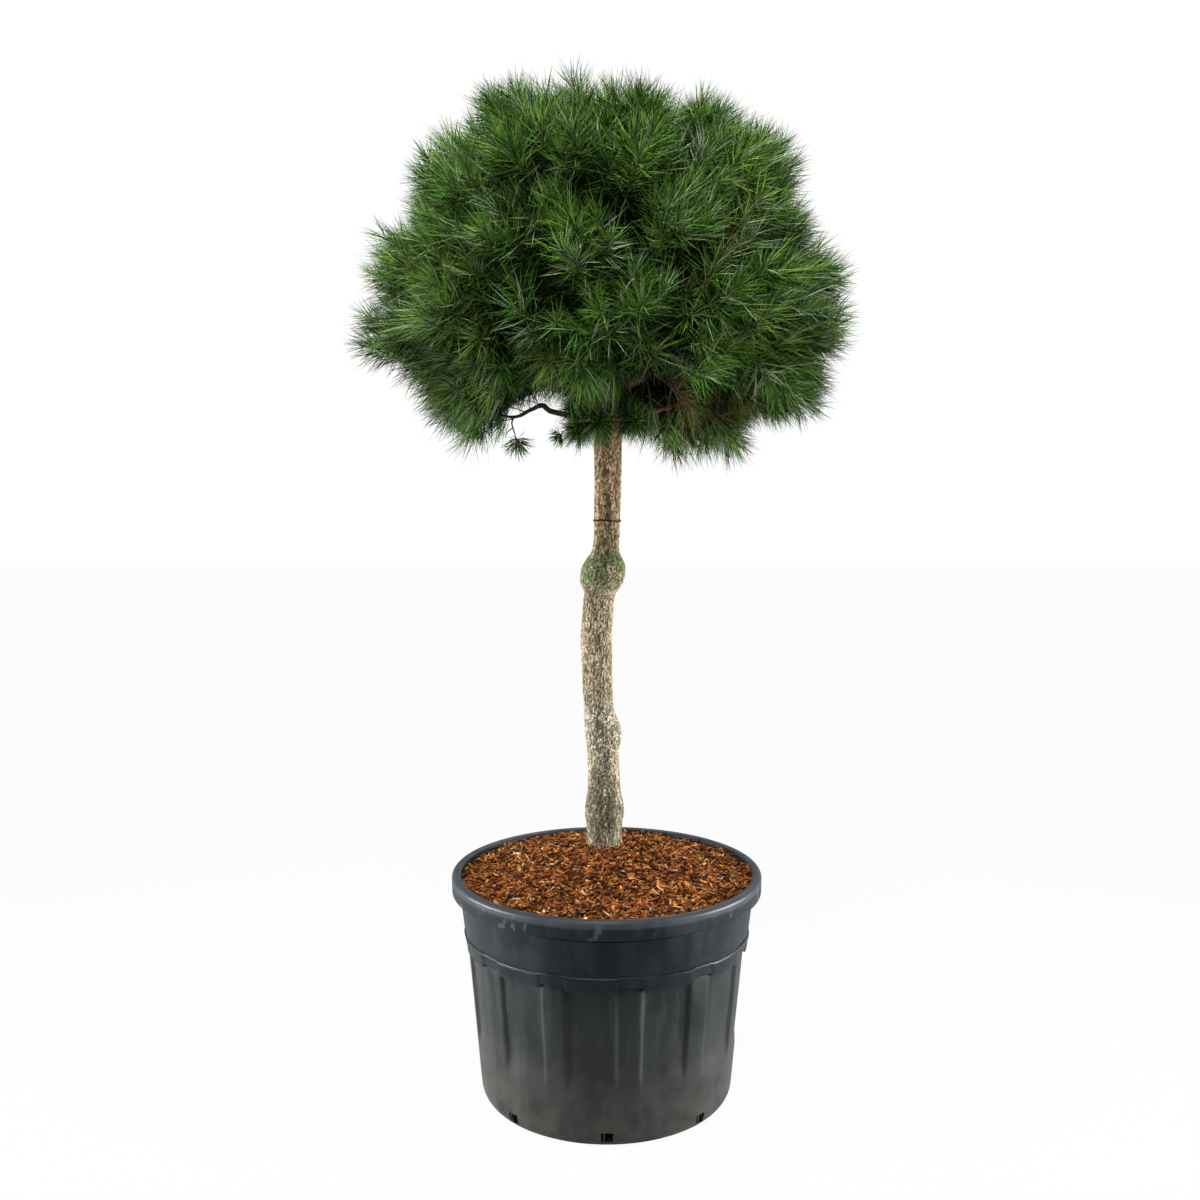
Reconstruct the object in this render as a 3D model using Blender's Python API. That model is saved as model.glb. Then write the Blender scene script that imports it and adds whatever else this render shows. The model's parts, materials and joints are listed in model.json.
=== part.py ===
"""A standard pine: a clear grafted stem with a round crown of long needles, in a ribbed
nursery container filled with bark mulch.

Metres, +Z up. The origin is the centre of the container's flat underside, and the side
that is looked at faces -Y. An azimuth is counted from -Y towards +X.
"""

import math
import random

import bmesh
import bpy
import numpy as np
from mathutils import Matrix, Vector, noise

SEED = 41
GAP = 0.0003  # left between solids that touch

# Container
RIM_LOW = 0.396
MOUTH_RADIUS = 0.2716
# The rim's roll, as (radius, height), from under its outer edge over the top and into the mouth
RIM_ROLL = ((0.2882, RIM_LOW), (0.2904, 0.413), (0.2882, 0.427), (0.2805, 0.432),
            (0.2738, 0.4305), (MOUTH_RADIUS, 0.424))
COLLAR_TOP_RADIUS = 0.2700
COLLAR_LOW_RADIUS = 0.2602
COLLAR_LOW = 0.294
LIP_DROP = 0.008  # the collar hangs this much lower over the panels between the ribs
WALL_FOOT_RADIUS = 0.2357  # the ribs' outer radius, extended down to the ground
WALL_SLOPE = 0.0787  # that radius grows this much for each metre of height
RIB_COUNT = 12
RIB_AZIMUTH = 8.8
RIB_HALF_FOOT = 5.9
RIB_HALF_TOP = 4.3
RIB_HEIGHT = 0.0055
RIB_FADE_LOW = 0.100
RIB_FADE_HIGH = 0.135
BASE_RADIUS = 0.212
BASE_CORNER = 0.030  # height of the rounded corner at the foot
WALL = 0.0036
FLOOR = 0.0045
DRAIN_COUNT = 8
DRAIN_WIDTH = 0.021
DRAIN_HEIGHT = 0.019
DRAIN_MIDDLE = 0.022
DRAIN_RADIUS = 0.228
DRAIN_DEPTH = 0.040

# Root ball with its mulch
MULCH_EDGE = 0.418
MULCH_EDGE_GAP = 0.0015
MULCH_ROUGHNESS = 0.003
MULCH_TOP = 0.460
MULCH_FLAT_RADIUS = 0.062

# Trunk: height of the axis, its x and its radius
FOOT = Vector((-0.0045, 0.060, MULCH_TOP + GAP))
TRUNK_STATIONS = (
    (0.46, -0.0045, 0.0352),
    (0.49, -0.0045, 0.0335),
    (0.60, -0.0045, 0.0295),
    (0.67, -0.0085, 0.0290),
    (0.74, -0.0158, 0.0280),
    (0.86, -0.0200, 0.0288),
    (0.93, -0.0152, 0.0286),
    (0.99, -0.0060, 0.0262),
    (1.05, 0.0000, 0.0235),
    (1.16, 0.0022, 0.0246),
    (1.27, 0.0020, 0.0262),
    (1.36, 0.0010, 0.0235),
    (1.48, -0.0060, 0.0165),
    (1.61, 0.0000, 0.0085),
)
TRUNK_TOP_Y = 0.050
# Swellings of the trunk: height, how far they stand out, half their height, azimuth, and
# how much more they stand out on that side than on the other
TRUNK_SWELLINGS = (
    (0.987, 0.0155, 0.0310, -40.0, 0.05),
    (0.697, 0.0055, 0.0330, 75.0, 0.75),
    (0.533, 0.0045, 0.0250, 20.0, 0.30),
)
SWELLING_SQUARENESS = 3.2  # 2 would be a bell curve, and more is flatter with steeper shoulders
TRUNK_SIDES = 16
SWELLING_STEPS = (-1.4, -0.9, -0.4, 0.4, 0.9, 1.4)
TRUNK_STEP = 0.050  # between rings, closer at each swelling

# Boughs: height of the lowest fork, step between forks, radius at the foot and the tip, share
# of the way to its mass that a bough goes, and how far it sags
BOUGH_SIDES = 6
UPPER_FORK = 1.425
UPPER_FORK_STEP = 0.022
UPPER_BOUGH = (0.0105, 0.0068)
UPPER_SHARE = 0.50
UPPER_SAG = 0.014
LOWER_FORK = 1.315
LOWER_FORK_STEP = 0.020
LOWER_BOUGH = (0.0125, 0.0072)
LOWER_SHARE = 0.56
LOWER_SAG = 0.020
# The two lowest boughs show below the crown, so they have routes of their own: which lower
# mass each carries, and its knots
OPEN_BOUGHS = {
    0: ((0.0, 0.052, 1.257), (-0.068, 0.039, 1.279), (-0.122, 0.030, 1.299), (-0.171, 0.022, 1.277),
        (-0.212, 0.020, 1.288)),
    4: ((0.0, 0.052, 1.262), (0.062, 0.042, 1.281), (0.130, 0.034, 1.300), (0.196, 0.040, 1.322)),
}
OPEN_BOUGH = (0.0085, 0.0034)  # their radius at the foot and the tip
HANGING_TWIG = ((-0.171, 0.022, 1.277), (-0.1735, 0.021, 1.264), (-0.1700, 0.020, 1.2505))
HANGING_TWIG_SIZE = (0.0030, 0.0024)

TIE_HEIGHT = 1.087
TIE_WIRE = 0.0022
TIE_CLEAR = 0.0008  # from the bark's highest places
TIE_STEPS = 20
TIE_SIDES = 5

# Crown: the reach of the needles' tips from the crown's middle, by angle from straight up,
# towards -X, towards +X, and towards the front and back
CROWN_MIDDLE = Vector((0.0, 0.050, 1.530))
REACH_ANGLES = (0, 12, 22, 33, 45, 62, 72, 80, 94, 104, 111, 120, 133, 141, 148, 160, 180)
REACH_LEFT = (0.318, 0.354, 0.392, 0.402, 0.398, 0.418, 0.402, 0.455, 0.448, 0.480, 0.418, 0.432,
              0.416, 0.394, 0.320, 0.270, 0.275)
REACH_RIGHT = (0.318, 0.326, 0.352, 0.388, 0.410, 0.412, 0.395, 0.412, 0.460, 0.466, 0.442, 0.480,
               0.418, 0.424, 0.408, 0.380, 0.275)
REACH_DEPTH = (0.318, 0.328, 0.357, 0.384, 0.400, 0.414, 0.405, 0.422, 0.440, 0.448, 0.430, 0.425,
               0.375, 0.335, 0.310, 0.285, 0.275)
# How fast the left and right reach give way to the front and back reach
LEFT_FALL = 1.8
RIGHT_FALL = 1.2
# The sky shows through under the left boughs: this strip of the crown ends higher up
BARE_STRIP_X = (-0.205, -0.062)
BARE_STRIP_FLOOR = 1.308

# Middles of the foliage masses: azimuth, angle from straight up, and distance from the
# crown's middle
TOP_SITE = (0.0, 0.0, 0.220)
UPPER_AZIMUTHS = (-36.0, 36.0, 108.0, 180.0, -108.0)
UPPER_ANGLE = 52.0
LOWER_AZIMUTHS = (-90.0, -42.0, 6.0, 52.0, 98.0, 150.0, -146.0)
LOWER_ANGLE = 103.0
RING_DISTANCE = 0.268
SPACE_MARGIN = 0.0018
LIMB_MARGIN = 0.004

# Sprays of needles
TUFT_COUNT = 195
GROUP_SIZE = 5  # tufts on one branchlet
TUFT_LENGTH = 0.052
TUFT_RADIUS = 0.0100
STALK_SHARE = 0.34  # of a tuft's core that is bare, and sunk in the mass
NEEDLE_LENGTH = 0.060
MISSING_NEEDLES = 0.30  # share of the needles left out on a tuft's lower half
NEEDLE_LEANS = (58.0, 27.0)  # from the shoot's axis, on its lower and its upper half
TUFT_LIFT = 0.42  # how much the shoots turn upward, away from straight out
TUFT_REACH = 0.85 * TUFT_LENGTH + 0.88 * NEEDLE_LENGTH  # from a tuft's foot to its needles' tips
CORE_INSET = 0.070
CORE_LUMPS = 0.016
CROWN_HOLLOW = 0.122  # radius of the open space round the trunk, where the boughs part
CORE_SINK = 0.008  # a shoot's foot this deep in the core needs no twig
CORE_TIP_CLEAR = 0.012  # from the bough's tip to the mass's core
# The cores end this high under the crown's middle, and lower further out
CORE_FLOOR = 1.340
CORE_FLOOR_REACH = 0.225
STEM_RADII = (0.0060, 0.0056, 0.0045)
BRANCHLET_RADII = (0.0042, 0.0034)
FORK_SHARE = 0.55  # where a branchlet ends, from its mass's middle to its tufts
SHORT_FORK_SHARE = 0.20  # the same, where the longer branchlet would leave the space
TWIG_RADII = (0.0026, 0.0021)

# Small sprays that hang below the crown: name, azimuth and height of their foot on the trunk
# (none for the one on the hanging twig), where their shoot ends, the radius of the space they
# keep to, and how many tufts they have
HANGING_SPRAY = ("hanging_spray", None, (-0.1640, 0.012, 1.2260), 0.062, 2)
SPRAY_STEM = (0.0032, 0.0031, 0.0027)
SPRAY_TUFT = 0.032
SPRAY_NEEDLE = 0.032
STEM_SPRAY_LEFT = ("stem_spray_left", (-42.0, 1.238), (-0.0480, 0.014, 1.2380), 0.058, 2)
STEM_SPRAY_RIGHT = ("stem_spray_right", (28.0, 1.286), (0.0480, -0.012, 1.2700), 0.062, 2)


def direction(azimuth, angle_from_up):
    """Unit vector at an azimuth (degrees) and an angle from straight up (degrees)."""
    turn, lean = math.radians(azimuth), math.radians(angle_from_up)
    return Vector((math.sin(turn) * math.sin(lean), -math.cos(turn) * math.sin(lean), math.cos(lean)))


def smooth(low, high, value):
    """0 below low, 1 above high, and an S-shaped rise between them."""
    t = min(max((value - low) / (high - low), 0.0), 1.0)
    return t * t * (3.0 - 2.0 * t)


# ---------------------------------------------------------------- scene and materials


def clear_scene():
    for obj in list(bpy.data.objects):
        bpy.data.objects.remove(obj)


def material(name, colour, roughness):
    made = bpy.data.materials.new(name)
    made.use_nodes = True
    shader = made.node_tree.nodes["Principled BSDF"]
    shader.inputs["Base Color"].default_value = (*colour, 1.0)
    shader.inputs["Roughness"].default_value = roughness
    shader.inputs["Metallic"].default_value = 0.0
    return made


def add_object(name, points, faces, made_of):
    """A mesh object from points and faces, with its faces turned outward."""
    mesh = bpy.data.meshes.new(name)
    mesh.from_pydata([tuple(p) for p in points], [], faces)
    work = bmesh.new()
    work.from_mesh(mesh)
    bmesh.ops.recalc_face_normals(work, faces=work.faces)
    work.to_mesh(mesh)
    work.free()
    obj = bpy.data.objects.new(name, mesh)
    bpy.context.scene.collection.objects.link(obj)
    if made_of:
        mesh.materials.append(made_of)
    return obj


def shade(obj, sharp_degrees):
    obj.data.shade_smooth()
    obj.data.set_sharp_from_angle(angle=math.radians(sharp_degrees))


def apply_boolean(obj, operation, solver, cutter=None, group=None):
    """Add a Boolean to obj, keep its result as obj's mesh, and remove what it used."""
    modifier = obj.modifiers.new("Join", "BOOLEAN")
    modifier.operation = operation
    modifier.solver = solver
    if group:
        modifier.operand_type = "COLLECTION"
        modifier.collection = group
    else:
        modifier.object = cutter
    graph = bpy.context.evaluated_depsgraph_get()
    result = bpy.data.meshes.new_from_object(obj.evaluated_get(graph))
    obj.modifiers.remove(modifier)
    old = obj.data
    obj.data = result
    bpy.data.meshes.remove(old)
    used = list(group.objects) if group else [cutter]
    for other in used:
        bpy.data.objects.remove(other)
    if group:
        bpy.data.collections.remove(group)


# ---------------------------------------------------------------- container


def wall_radius(height):
    return WALL_FOOT_RADIUS + WALL_SLOPE * height


def ring_azimuths():
    """Azimuths of the container's corners, and whether each lies on a rib (1) or a panel (0)."""
    turns = []
    step = 360.0 / RIB_COUNT
    for rib in range(RIB_COUNT):
        middle = RIB_AZIMUTH + rib * step
        turns.append((middle - RIB_HALF_FOOT, 0.0))
        turns.append((middle - RIB_HALF_TOP, 1.0))
        turns.append((middle + RIB_HALF_TOP, 1.0))
        turns.append((middle + RIB_HALF_FOOT, 0.0))
        turns.append((middle + step / 2.0, 0.0))
    return turns


def corner_rings(inset, low):
    """The rounded corner at the container's foot, as (radius, height), from its flat bottom up."""
    foot, top = BASE_RADIUS - inset, wall_radius(BASE_CORNER) - inset
    rings = []
    for degrees in (0.0, 32.0, 62.0, 90.0):
        turn = math.radians(degrees)
        height = low + (BASE_CORNER - low) * (1.0 - math.cos(turn))
        rings.append((foot + (top - foot) * math.sin(turn), height))
    return rings


def inner_profile():
    """The container's inside below its mouth, as (radius, height), from the top down."""
    recess = RIB_HEIGHT + WALL
    return [
        (COLLAR_TOP_RADIUS - WALL, RIM_LOW - 0.006),
        (COLLAR_LOW_RADIUS - WALL, COLLAR_LOW + 0.010),
        (wall_radius(COLLAR_LOW) - recess, COLLAR_LOW - 0.010),
        *reversed(corner_rings(recess, FLOOR)),
    ]


def container_rings():
    """Rows of (radius, height, rib share, lip share), from the underside up the outside, over
    the rim and down the inside."""
    neck = COLLAR_LOW - 0.002
    rings = [(radius, height, 0.0, 0.0) for radius, height in corner_rings(0.0, 0.0)]
    rings += [
        (wall_radius(RIB_FADE_LOW), RIB_FADE_LOW, 0.0, 0.0),
        (wall_radius(RIB_FADE_HIGH), RIB_FADE_HIGH, 1.0, 0.0),
        (wall_radius(neck), neck, 1.0, 1.0),
        (COLLAR_LOW_RADIUS, COLLAR_LOW, 0.0, 1.0),
        (COLLAR_TOP_RADIUS, RIM_LOW - 0.003, 0.0, 0.0),
    ]
    rings += [(radius, height, 0.0, 0.0) for radius, height in RIM_ROLL]
    rings += [(radius, height, 0.0, 0.0) for radius, height in inner_profile()]
    return rings


def turned(rings, turns):
    """Points and faces of a closed turned body: rings of (radius, height, rib, lip), with a flat
    end on the first and the last."""
    points, faces = [], []
    count = len(turns)
    for radius, height, rib, lip in rings:
        for azimuth, on_rib in turns:
            here = radius - RIB_HEIGHT * rib * (1.0 - on_rib)
            level = height - LIP_DROP * lip * (1.0 - on_rib)
            turn = math.radians(azimuth)
            points.append((here * math.sin(turn), -here * math.cos(turn), level))
    for row in range(len(rings) - 1):
        for k in range(count):
            nxt = (k + 1) % count
            a, b = row * count, (row + 1) * count
            faces.append((a + k, a + nxt, b + nxt, b + k))
    faces.append(tuple(range(count))[::-1])
    faces.append(tuple(range((len(rings) - 1) * count, len(rings) * count)))
    return points, faces


def drain_cutter(azimuth):
    """A square block across the container's wall at its foot."""
    half = Vector((DRAIN_WIDTH, DRAIN_DEPTH, DRAIN_HEIGHT)) / 2.0
    turn = Matrix.Rotation(math.radians(azimuth), 3, "Z")
    points = []
    for x in (-1, 1):
        for y in (-1, 1):
            for z in (-1, 1):
                corner = Vector((x * half.x, y * half.y - DRAIN_RADIUS, z * half.z + DRAIN_MIDDLE))
                points.append(turn @ corner)
    faces = [(0, 1, 3, 2), (4, 6, 7, 5), (0, 4, 5, 1), (2, 3, 7, 6), (0, 2, 6, 4), (1, 5, 7, 3)]
    return add_object("drain_cutter", points, faces, None)


def build_container(made_of):
    points, faces = turned(container_rings(), ring_azimuths())
    pot = add_object("pot", points, faces, made_of)
    for k in range(DRAIN_COUNT):
        apply_boolean(pot, "DIFFERENCE", "EXACT", cutter=drain_cutter(k * 360.0 / DRAIN_COUNT))
    shade(pot, 32.0)
    return pot


# ---------------------------------------------------------------- root ball and mulch


def build_root_ball(made_of):
    """Fills the container, and rises in a low mound to a flat place under the trunk."""
    turns = ring_azimuths()
    rings = [(radius - GAP, height, 0.0, 0.0) for radius, height in reversed(inner_profile())]
    rings[0] = (rings[0][0], FLOOR + GAP, 0.0, 0.0)
    rings.append((MOUTH_RADIUS - MULCH_EDGE_GAP, MULCH_EDGE, 0.0, 0.0))
    points, faces = turned(rings, turns)
    faces.pop()
    count = len(turns)
    outer = len(points) - count
    shares = (0.30, 0.70, 1.0)
    for share in shares:
        middle = Vector((FOOT.x, FOOT.y, 0.0)) * share
        radius = MOUTH_RADIUS + (MULCH_FLAT_RADIUS - MOUTH_RADIUS) * share
        for azimuth, _ in turns:
            turn = math.radians(azimuth)
            spot = middle + Vector((math.sin(turn), -math.cos(turn), 0.0)) * radius
            level = MULCH_EDGE + (MULCH_TOP - MULCH_EDGE) * smooth(-0.25, 1.0, share)
            if share < 1.0:
                level += MULCH_ROUGHNESS * noise.noise(spot * 16.0)
            points.append((spot.x, spot.y, level))
    for row in range(len(shares)):
        a, b = outer + row * count, outer + (row + 1) * count
        for k in range(count):
            nxt = (k + 1) % count
            faces.append((a + k, a + nxt, b + nxt, b + k))
    faces.append(tuple(range(len(points) - count, len(points))))
    ball = add_object("root_ball", points, faces, made_of)
    shade(ball, 40.0)
    return ball


# ---------------------------------------------------------------- trunk and boughs


def curve_point(knots, t):
    """Point at t (0 to 1) of a smooth curve through the knots."""
    last = len(knots) - 1
    place = min(max(t, 0.0), 1.0) * last
    k = min(int(place), last - 1)
    u = place - k
    before, start = knots[max(k - 1, 0)], knots[k]
    end, after = knots[k + 1], knots[min(k + 2, last)]
    return 0.5 * (2.0 * start + (end - before) * u + (2.0 * before - 5.0 * start + 4.0 * end - after) * u * u
                  + (3.0 * start - before - 3.0 * end + after) * u * u * u)


def tube(name, centres, radii, sides, made_of, flat_foot=False):
    """A closed tube with flat ends; radii holds one number, or one for each side, per ring."""
    points, faces = [], []
    last = len(centres) - 1
    across = None
    for k, centre in enumerate(centres):
        along = (centres[min(k + 1, last)] - centres[max(k - 1, 0)]).normalized()
        if flat_foot and k == 0:
            along = Vector((0.0, 0.0, 1.0))
        if across is None:
            across = along.orthogonal().normalized() if abs(along.z) < 0.9 else Vector((1.0, 0.0, 0.0))
        across = (across - along * across.dot(along)).normalized()
        up = along.cross(across)
        for side in range(sides):
            turn = 2.0 * math.pi * side / sides
            radius = radii[k][side] if hasattr(radii[k], "__len__") else radii[k]
            points.append(centre + (across * math.cos(turn) + up * math.sin(turn)) * radius)
    for k in range(last):
        for side in range(sides):
            nxt = (side + 1) % sides
            a, b = k * sides, (k + 1) * sides
            faces.append((a + side, a + nxt, b + nxt, b + side))
    faces.append(tuple(range(sides))[::-1])
    faces.append(tuple(range(last * sides, (last + 1) * sides)))
    return add_object(name, points, faces, made_of)


def trunk_centre(height):
    heights = [row[0] for row in TRUNK_STATIONS]
    x = float(np.interp(height, heights, [row[1] for row in TRUNK_STATIONS]))
    share = (height - heights[0]) / (heights[-1] - heights[0])
    return Vector((x, FOOT.y + (TRUNK_TOP_Y - FOOT.y) * share, height))


def trunk_radius(height, azimuth):
    radius = float(np.interp(height, [row[0] for row in TRUNK_STATIONS], [row[2] for row in TRUNK_STATIONS]))
    for level, out, half, towards, lopsided in TRUNK_SWELLINGS:
        side = 1.0 + lopsided * math.cos(math.radians(azimuth - towards))
        radius += out * side * math.exp(-abs((height - level) / half) ** SWELLING_SQUARENESS)
    spot = Vector((math.sin(math.radians(azimuth)), math.cos(math.radians(azimuth)), height * 9.0))
    return radius * (1.0 + 0.025 * noise.noise(spot))


def trunk_heights():
    """Heights of the trunk's rings: even steps, and closer ones over each swelling."""
    low, high = FOOT.z, TRUNK_STATIONS[-1][0]
    wanted = [level + half * step for level, _, half, _, _ in TRUNK_SWELLINGS for step in SWELLING_STEPS]
    even = np.arange(low + TRUNK_STEP / 2.0, high - TRUNK_STEP / 3.0, TRUNK_STEP)
    wanted += [height for height in even if all(abs(height - w) > TRUNK_STEP / 2.5 for w in wanted)]
    return [low, *sorted(float(height) for height in wanted), high]


def trunk_rings(extra):
    """Centres and radii of the trunk's rings, each radius widened by extra."""
    heights = trunk_heights()
    centres = [trunk_centre(height) for height in heights]
    centres[0] = FOOT.copy()
    radii = []
    for height in heights:
        # Side 0 of a ring points along +X, and the sides run on towards +Y.
        turns = [90.0 + 360.0 * side / TRUNK_SIDES for side in range(TRUNK_SIDES)]
        radii.append([trunk_radius(height, turn) + extra for turn in turns])
    return centres, radii


def build_trunk(name, made_of, extra=0.0):
    centres, radii = trunk_rings(extra)
    trunk = tube(name, centres, radii, TRUNK_SIDES, made_of, flat_foot=True)
    shade(trunk, 50.0)
    return trunk


def build_tie(made_of):
    """A wire ring round the trunk."""
    centre = trunk_centre(TIE_HEIGHT)
    points, faces = [], []
    for k in range(TIE_STEPS):
        azimuth = 360.0 * k / TIE_STEPS
        turn = math.radians(azimuth)
        out = Vector((math.sin(turn), -math.cos(turn), 0.0))
        radius = max(trunk_radius(TIE_HEIGHT + dz, azimuth) for dz in (-0.006, 0.0, 0.006)) + TIE_CLEAR
        for side in range(TIE_SIDES):
            roll = 2.0 * math.pi * side / TIE_SIDES
            step = out * (radius + TIE_WIRE + TIE_WIRE * math.cos(roll))
            points.append(centre + step + Vector((0.0, 0.0, TIE_WIRE * math.sin(roll))))
    for k in range(TIE_STEPS):
        here, there = k * TIE_SIDES, (k + 1) % TIE_STEPS * TIE_SIDES
        for side in range(TIE_SIDES):
            up = (side + 1) % TIE_SIDES
            faces.append((here + side, there + side, there + up, here + up))
    tie = add_object("tie_ring", points, faces, made_of)
    shade(tie, 60.0)
    return tie


def inner_bough(height, azimuth, angle):
    """Knots of a bough hidden in the crown, from the trunk half of the way to its mass."""
    start = trunk_centre(height)
    share, sag = (UPPER_SHARE, UPPER_SAG) if angle == UPPER_ANGLE else (LOWER_SHARE, LOWER_SAG)
    tip = start.lerp(site_of(azimuth, angle, RING_DISTANCE), share) + Vector((0.0, 0.0, -sag / 2.0))
    bend = start.lerp(tip, 0.5) + Vector((0.0, 0.0, -sag))
    return [start, bend, tip]


def bough_plan():
    """Name, knots, foot radius and tip radius of each bough, and the mass it carries."""
    plans = []
    for k, azimuth in enumerate(UPPER_AZIMUTHS):
        height = UPPER_FORK + UPPER_FORK_STEP * ((2 * k) % 5)
        knots = inner_bough(height, azimuth, UPPER_ANGLE)
        plans.append((f"bough_upper_{k + 1}", knots, *UPPER_BOUGH, f"foliage_upper_{k + 1}"))
    for k, azimuth in enumerate(LOWER_AZIMUTHS):
        if k in OPEN_BOUGHS:
            knots = [Vector(knot) for knot in OPEN_BOUGHS[k]]
            sizes = OPEN_BOUGH
        else:
            height = LOWER_FORK + LOWER_FORK_STEP * ((3 * k) % 4)
            knots = inner_bough(height, azimuth, LOWER_ANGLE)
            sizes = LOWER_BOUGH
        plans.append((f"bough_lower_{k + 1}", knots, *sizes, f"foliage_lower_{k + 1}"))
    return plans


def rings_for(knots):
    return 3 * (len(knots) - 1) + 1


def limb_line(knots, foot, tip, count):
    centres = [curve_point(knots, k / (count - 1)) for k in range(count)]
    radii = [foot + (tip - foot) * (k / (count - 1)) ** 0.8 for k in range(count)]
    return centres, radii


def build_bough(plan, made_of):
    """A tapering limb, cut to the trunk's side with a small gap."""
    name, knots, foot, tip, _ = plan
    centres, radii = limb_line(knots, foot, tip, rings_for(knots))
    bough = tube(name, centres, radii, BOUGH_SIDES, made_of)
    apply_boolean(bough, "DIFFERENCE", "EXACT", cutter=build_trunk("trunk_cutter", None, GAP))
    shade(bough, 60.0)
    return bough


def hanging_twig_line():
    return limb_line([Vector(knot) for knot in HANGING_TWIG], *HANGING_TWIG_SIZE, 6)


def build_hanging_twig(parent_plan, made_of):
    """The thin twig that hangs from the left bough."""
    centres, radii = hanging_twig_line()
    twig = tube("hanging_twig", centres, radii, 6, made_of)
    _, knots, foot, tip, _ = parent_plan
    bough_centres, bough_radii = limb_line(knots, foot + GAP, tip + GAP, rings_for(knots))
    cutter = tube("bough_cutter", bough_centres, bough_radii, BOUGH_SIDES, None)
    apply_boolean(twig, "DIFFERENCE", "EXACT", cutter=cutter)
    shade(twig, 60.0)
    return twig, centres, radii


# ---------------------------------------------------------------- the crown's spaces


def reach_of(azimuth, angle):
    """How far the needles' tips reach from the crown's middle in a direction (degrees)."""
    side = math.sin(math.radians(azimuth))
    edge, fall = (REACH_RIGHT, RIGHT_FALL) if side > 0.0 else (REACH_LEFT, LEFT_FALL)
    sideways = abs(side) ** fall
    return float((1.0 - sideways) * np.interp(angle, REACH_ANGLES, REACH_DEPTH)
                 + sideways * np.interp(angle, REACH_ANGLES, edge))


def reach_towards(point):
    """The reach in the direction of a point, and the point's own distance."""
    offset = point - CROWN_MIDDLE
    distance = max(offset.length, 1e-6)
    angle = math.degrees(math.acos(max(-1.0, min(1.0, offset.z / distance))))
    azimuth = math.degrees(math.atan2(offset.x, -offset.y))
    return reach_of(azimuth, angle), distance


def site_of(azimuth, angle, distance):
    return CROWN_MIDDLE + direction(azimuth, angle) * distance


def all_sites():
    """The middle of each foliage mass, by name."""
    sites = {"foliage_top": site_of(*TOP_SITE)}
    for k, azimuth in enumerate(UPPER_AZIMUTHS):
        sites[f"foliage_upper_{k + 1}"] = site_of(azimuth, UPPER_ANGLE, RING_DISTANCE)
    for k, azimuth in enumerate(LOWER_AZIMUTHS):
        sites[f"foliage_lower_{k + 1}"] = site_of(azimuth, LOWER_ANGLE, RING_DISTANCE)
    return sites


class Space:
    """The part of the crown that one mass keeps to: nearer its own middle than any other's,
    and clear of the limbs and of the small sprays' spaces."""

    def __init__(self, name, sites, limbs, balls):
        self.site = sites[name]
        self.normals, self.offsets = [], []
        for other, middle in sites.items():
            if other == name:
                continue
            normal = (middle - self.site).normalized()
            self.normals.append(normal)
            self.offsets.append(normal.dot((middle + self.site) / 2.0) - SPACE_MARGIN)
        self.normals = np.array(self.normals)
        self.offsets = np.array(self.offsets)
        self.limbs = limbs
        self.balls = balls

    def holds(self, points, radius=0.0):
        """Whether all the points, each with this radius round it, lie in the space."""
        points = np.array(points)
        if (points @ self.normals.T > self.offsets - radius).any():
            return False
        if in_bare_strip(points, radius):
            return False
        for centre, size in self.balls:
            if (np.linalg.norm(points - centre, axis=1) < size + radius + SPACE_MARGIN).any():
                return False
        return clear_of_limbs(points, self.limbs, radius)


def in_bare_strip(points, radius):
    low, high = BARE_STRIP_X
    inside = (points[:, 0] > low - radius) & (points[:, 0] < high + radius)
    return bool((inside & (points[:, 2] < BARE_STRIP_FLOOR + radius)).any())


class Ball:
    """The round space of a small spray."""

    def __init__(self, centre, size, limbs):
        self.centre, self.size, self.limbs = np.array(centre), size, limbs

    def holds(self, points, radius=0.0):
        points = np.array(points)
        if (np.linalg.norm(points - self.centre, axis=1) > self.size - radius).any():
            return False
        return clear_of_limbs(points, self.limbs, radius)


def clear_of_limbs(points, limbs, radius):
    starts, steps, sizes = limbs
    lengths = np.maximum((steps * steps).sum(axis=1), 1e-12)
    offset = points[:, None, :] - starts[None, :, :]
    along = np.clip((offset * steps[None]).sum(axis=2) / lengths, 0.0, 1.0)
    nearest = np.linalg.norm(offset - along[:, :, None] * steps[None], axis=2)
    return bool((nearest > sizes[None] + radius + LIMB_MARGIN).all())


def limb_segments(lines):
    """Starts, steps and largest radii of all the limbs' pieces, as arrays."""
    starts, steps, sizes = [], [], []
    for centres, radii in lines:
        for k in range(len(centres) - 1):
            starts.append(centres[k])
            steps.append(centres[k + 1] - centres[k])
            sizes.append(max(np.max(radii[k]), np.max(radii[k + 1])))
    return np.array(starts), np.array(steps), np.array(sizes)


# ---------------------------------------------------------------- foliage


def along_line(start, end, count=5):
    return [start.lerp(end, k / (count - 1)) for k in range(count)]


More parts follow.
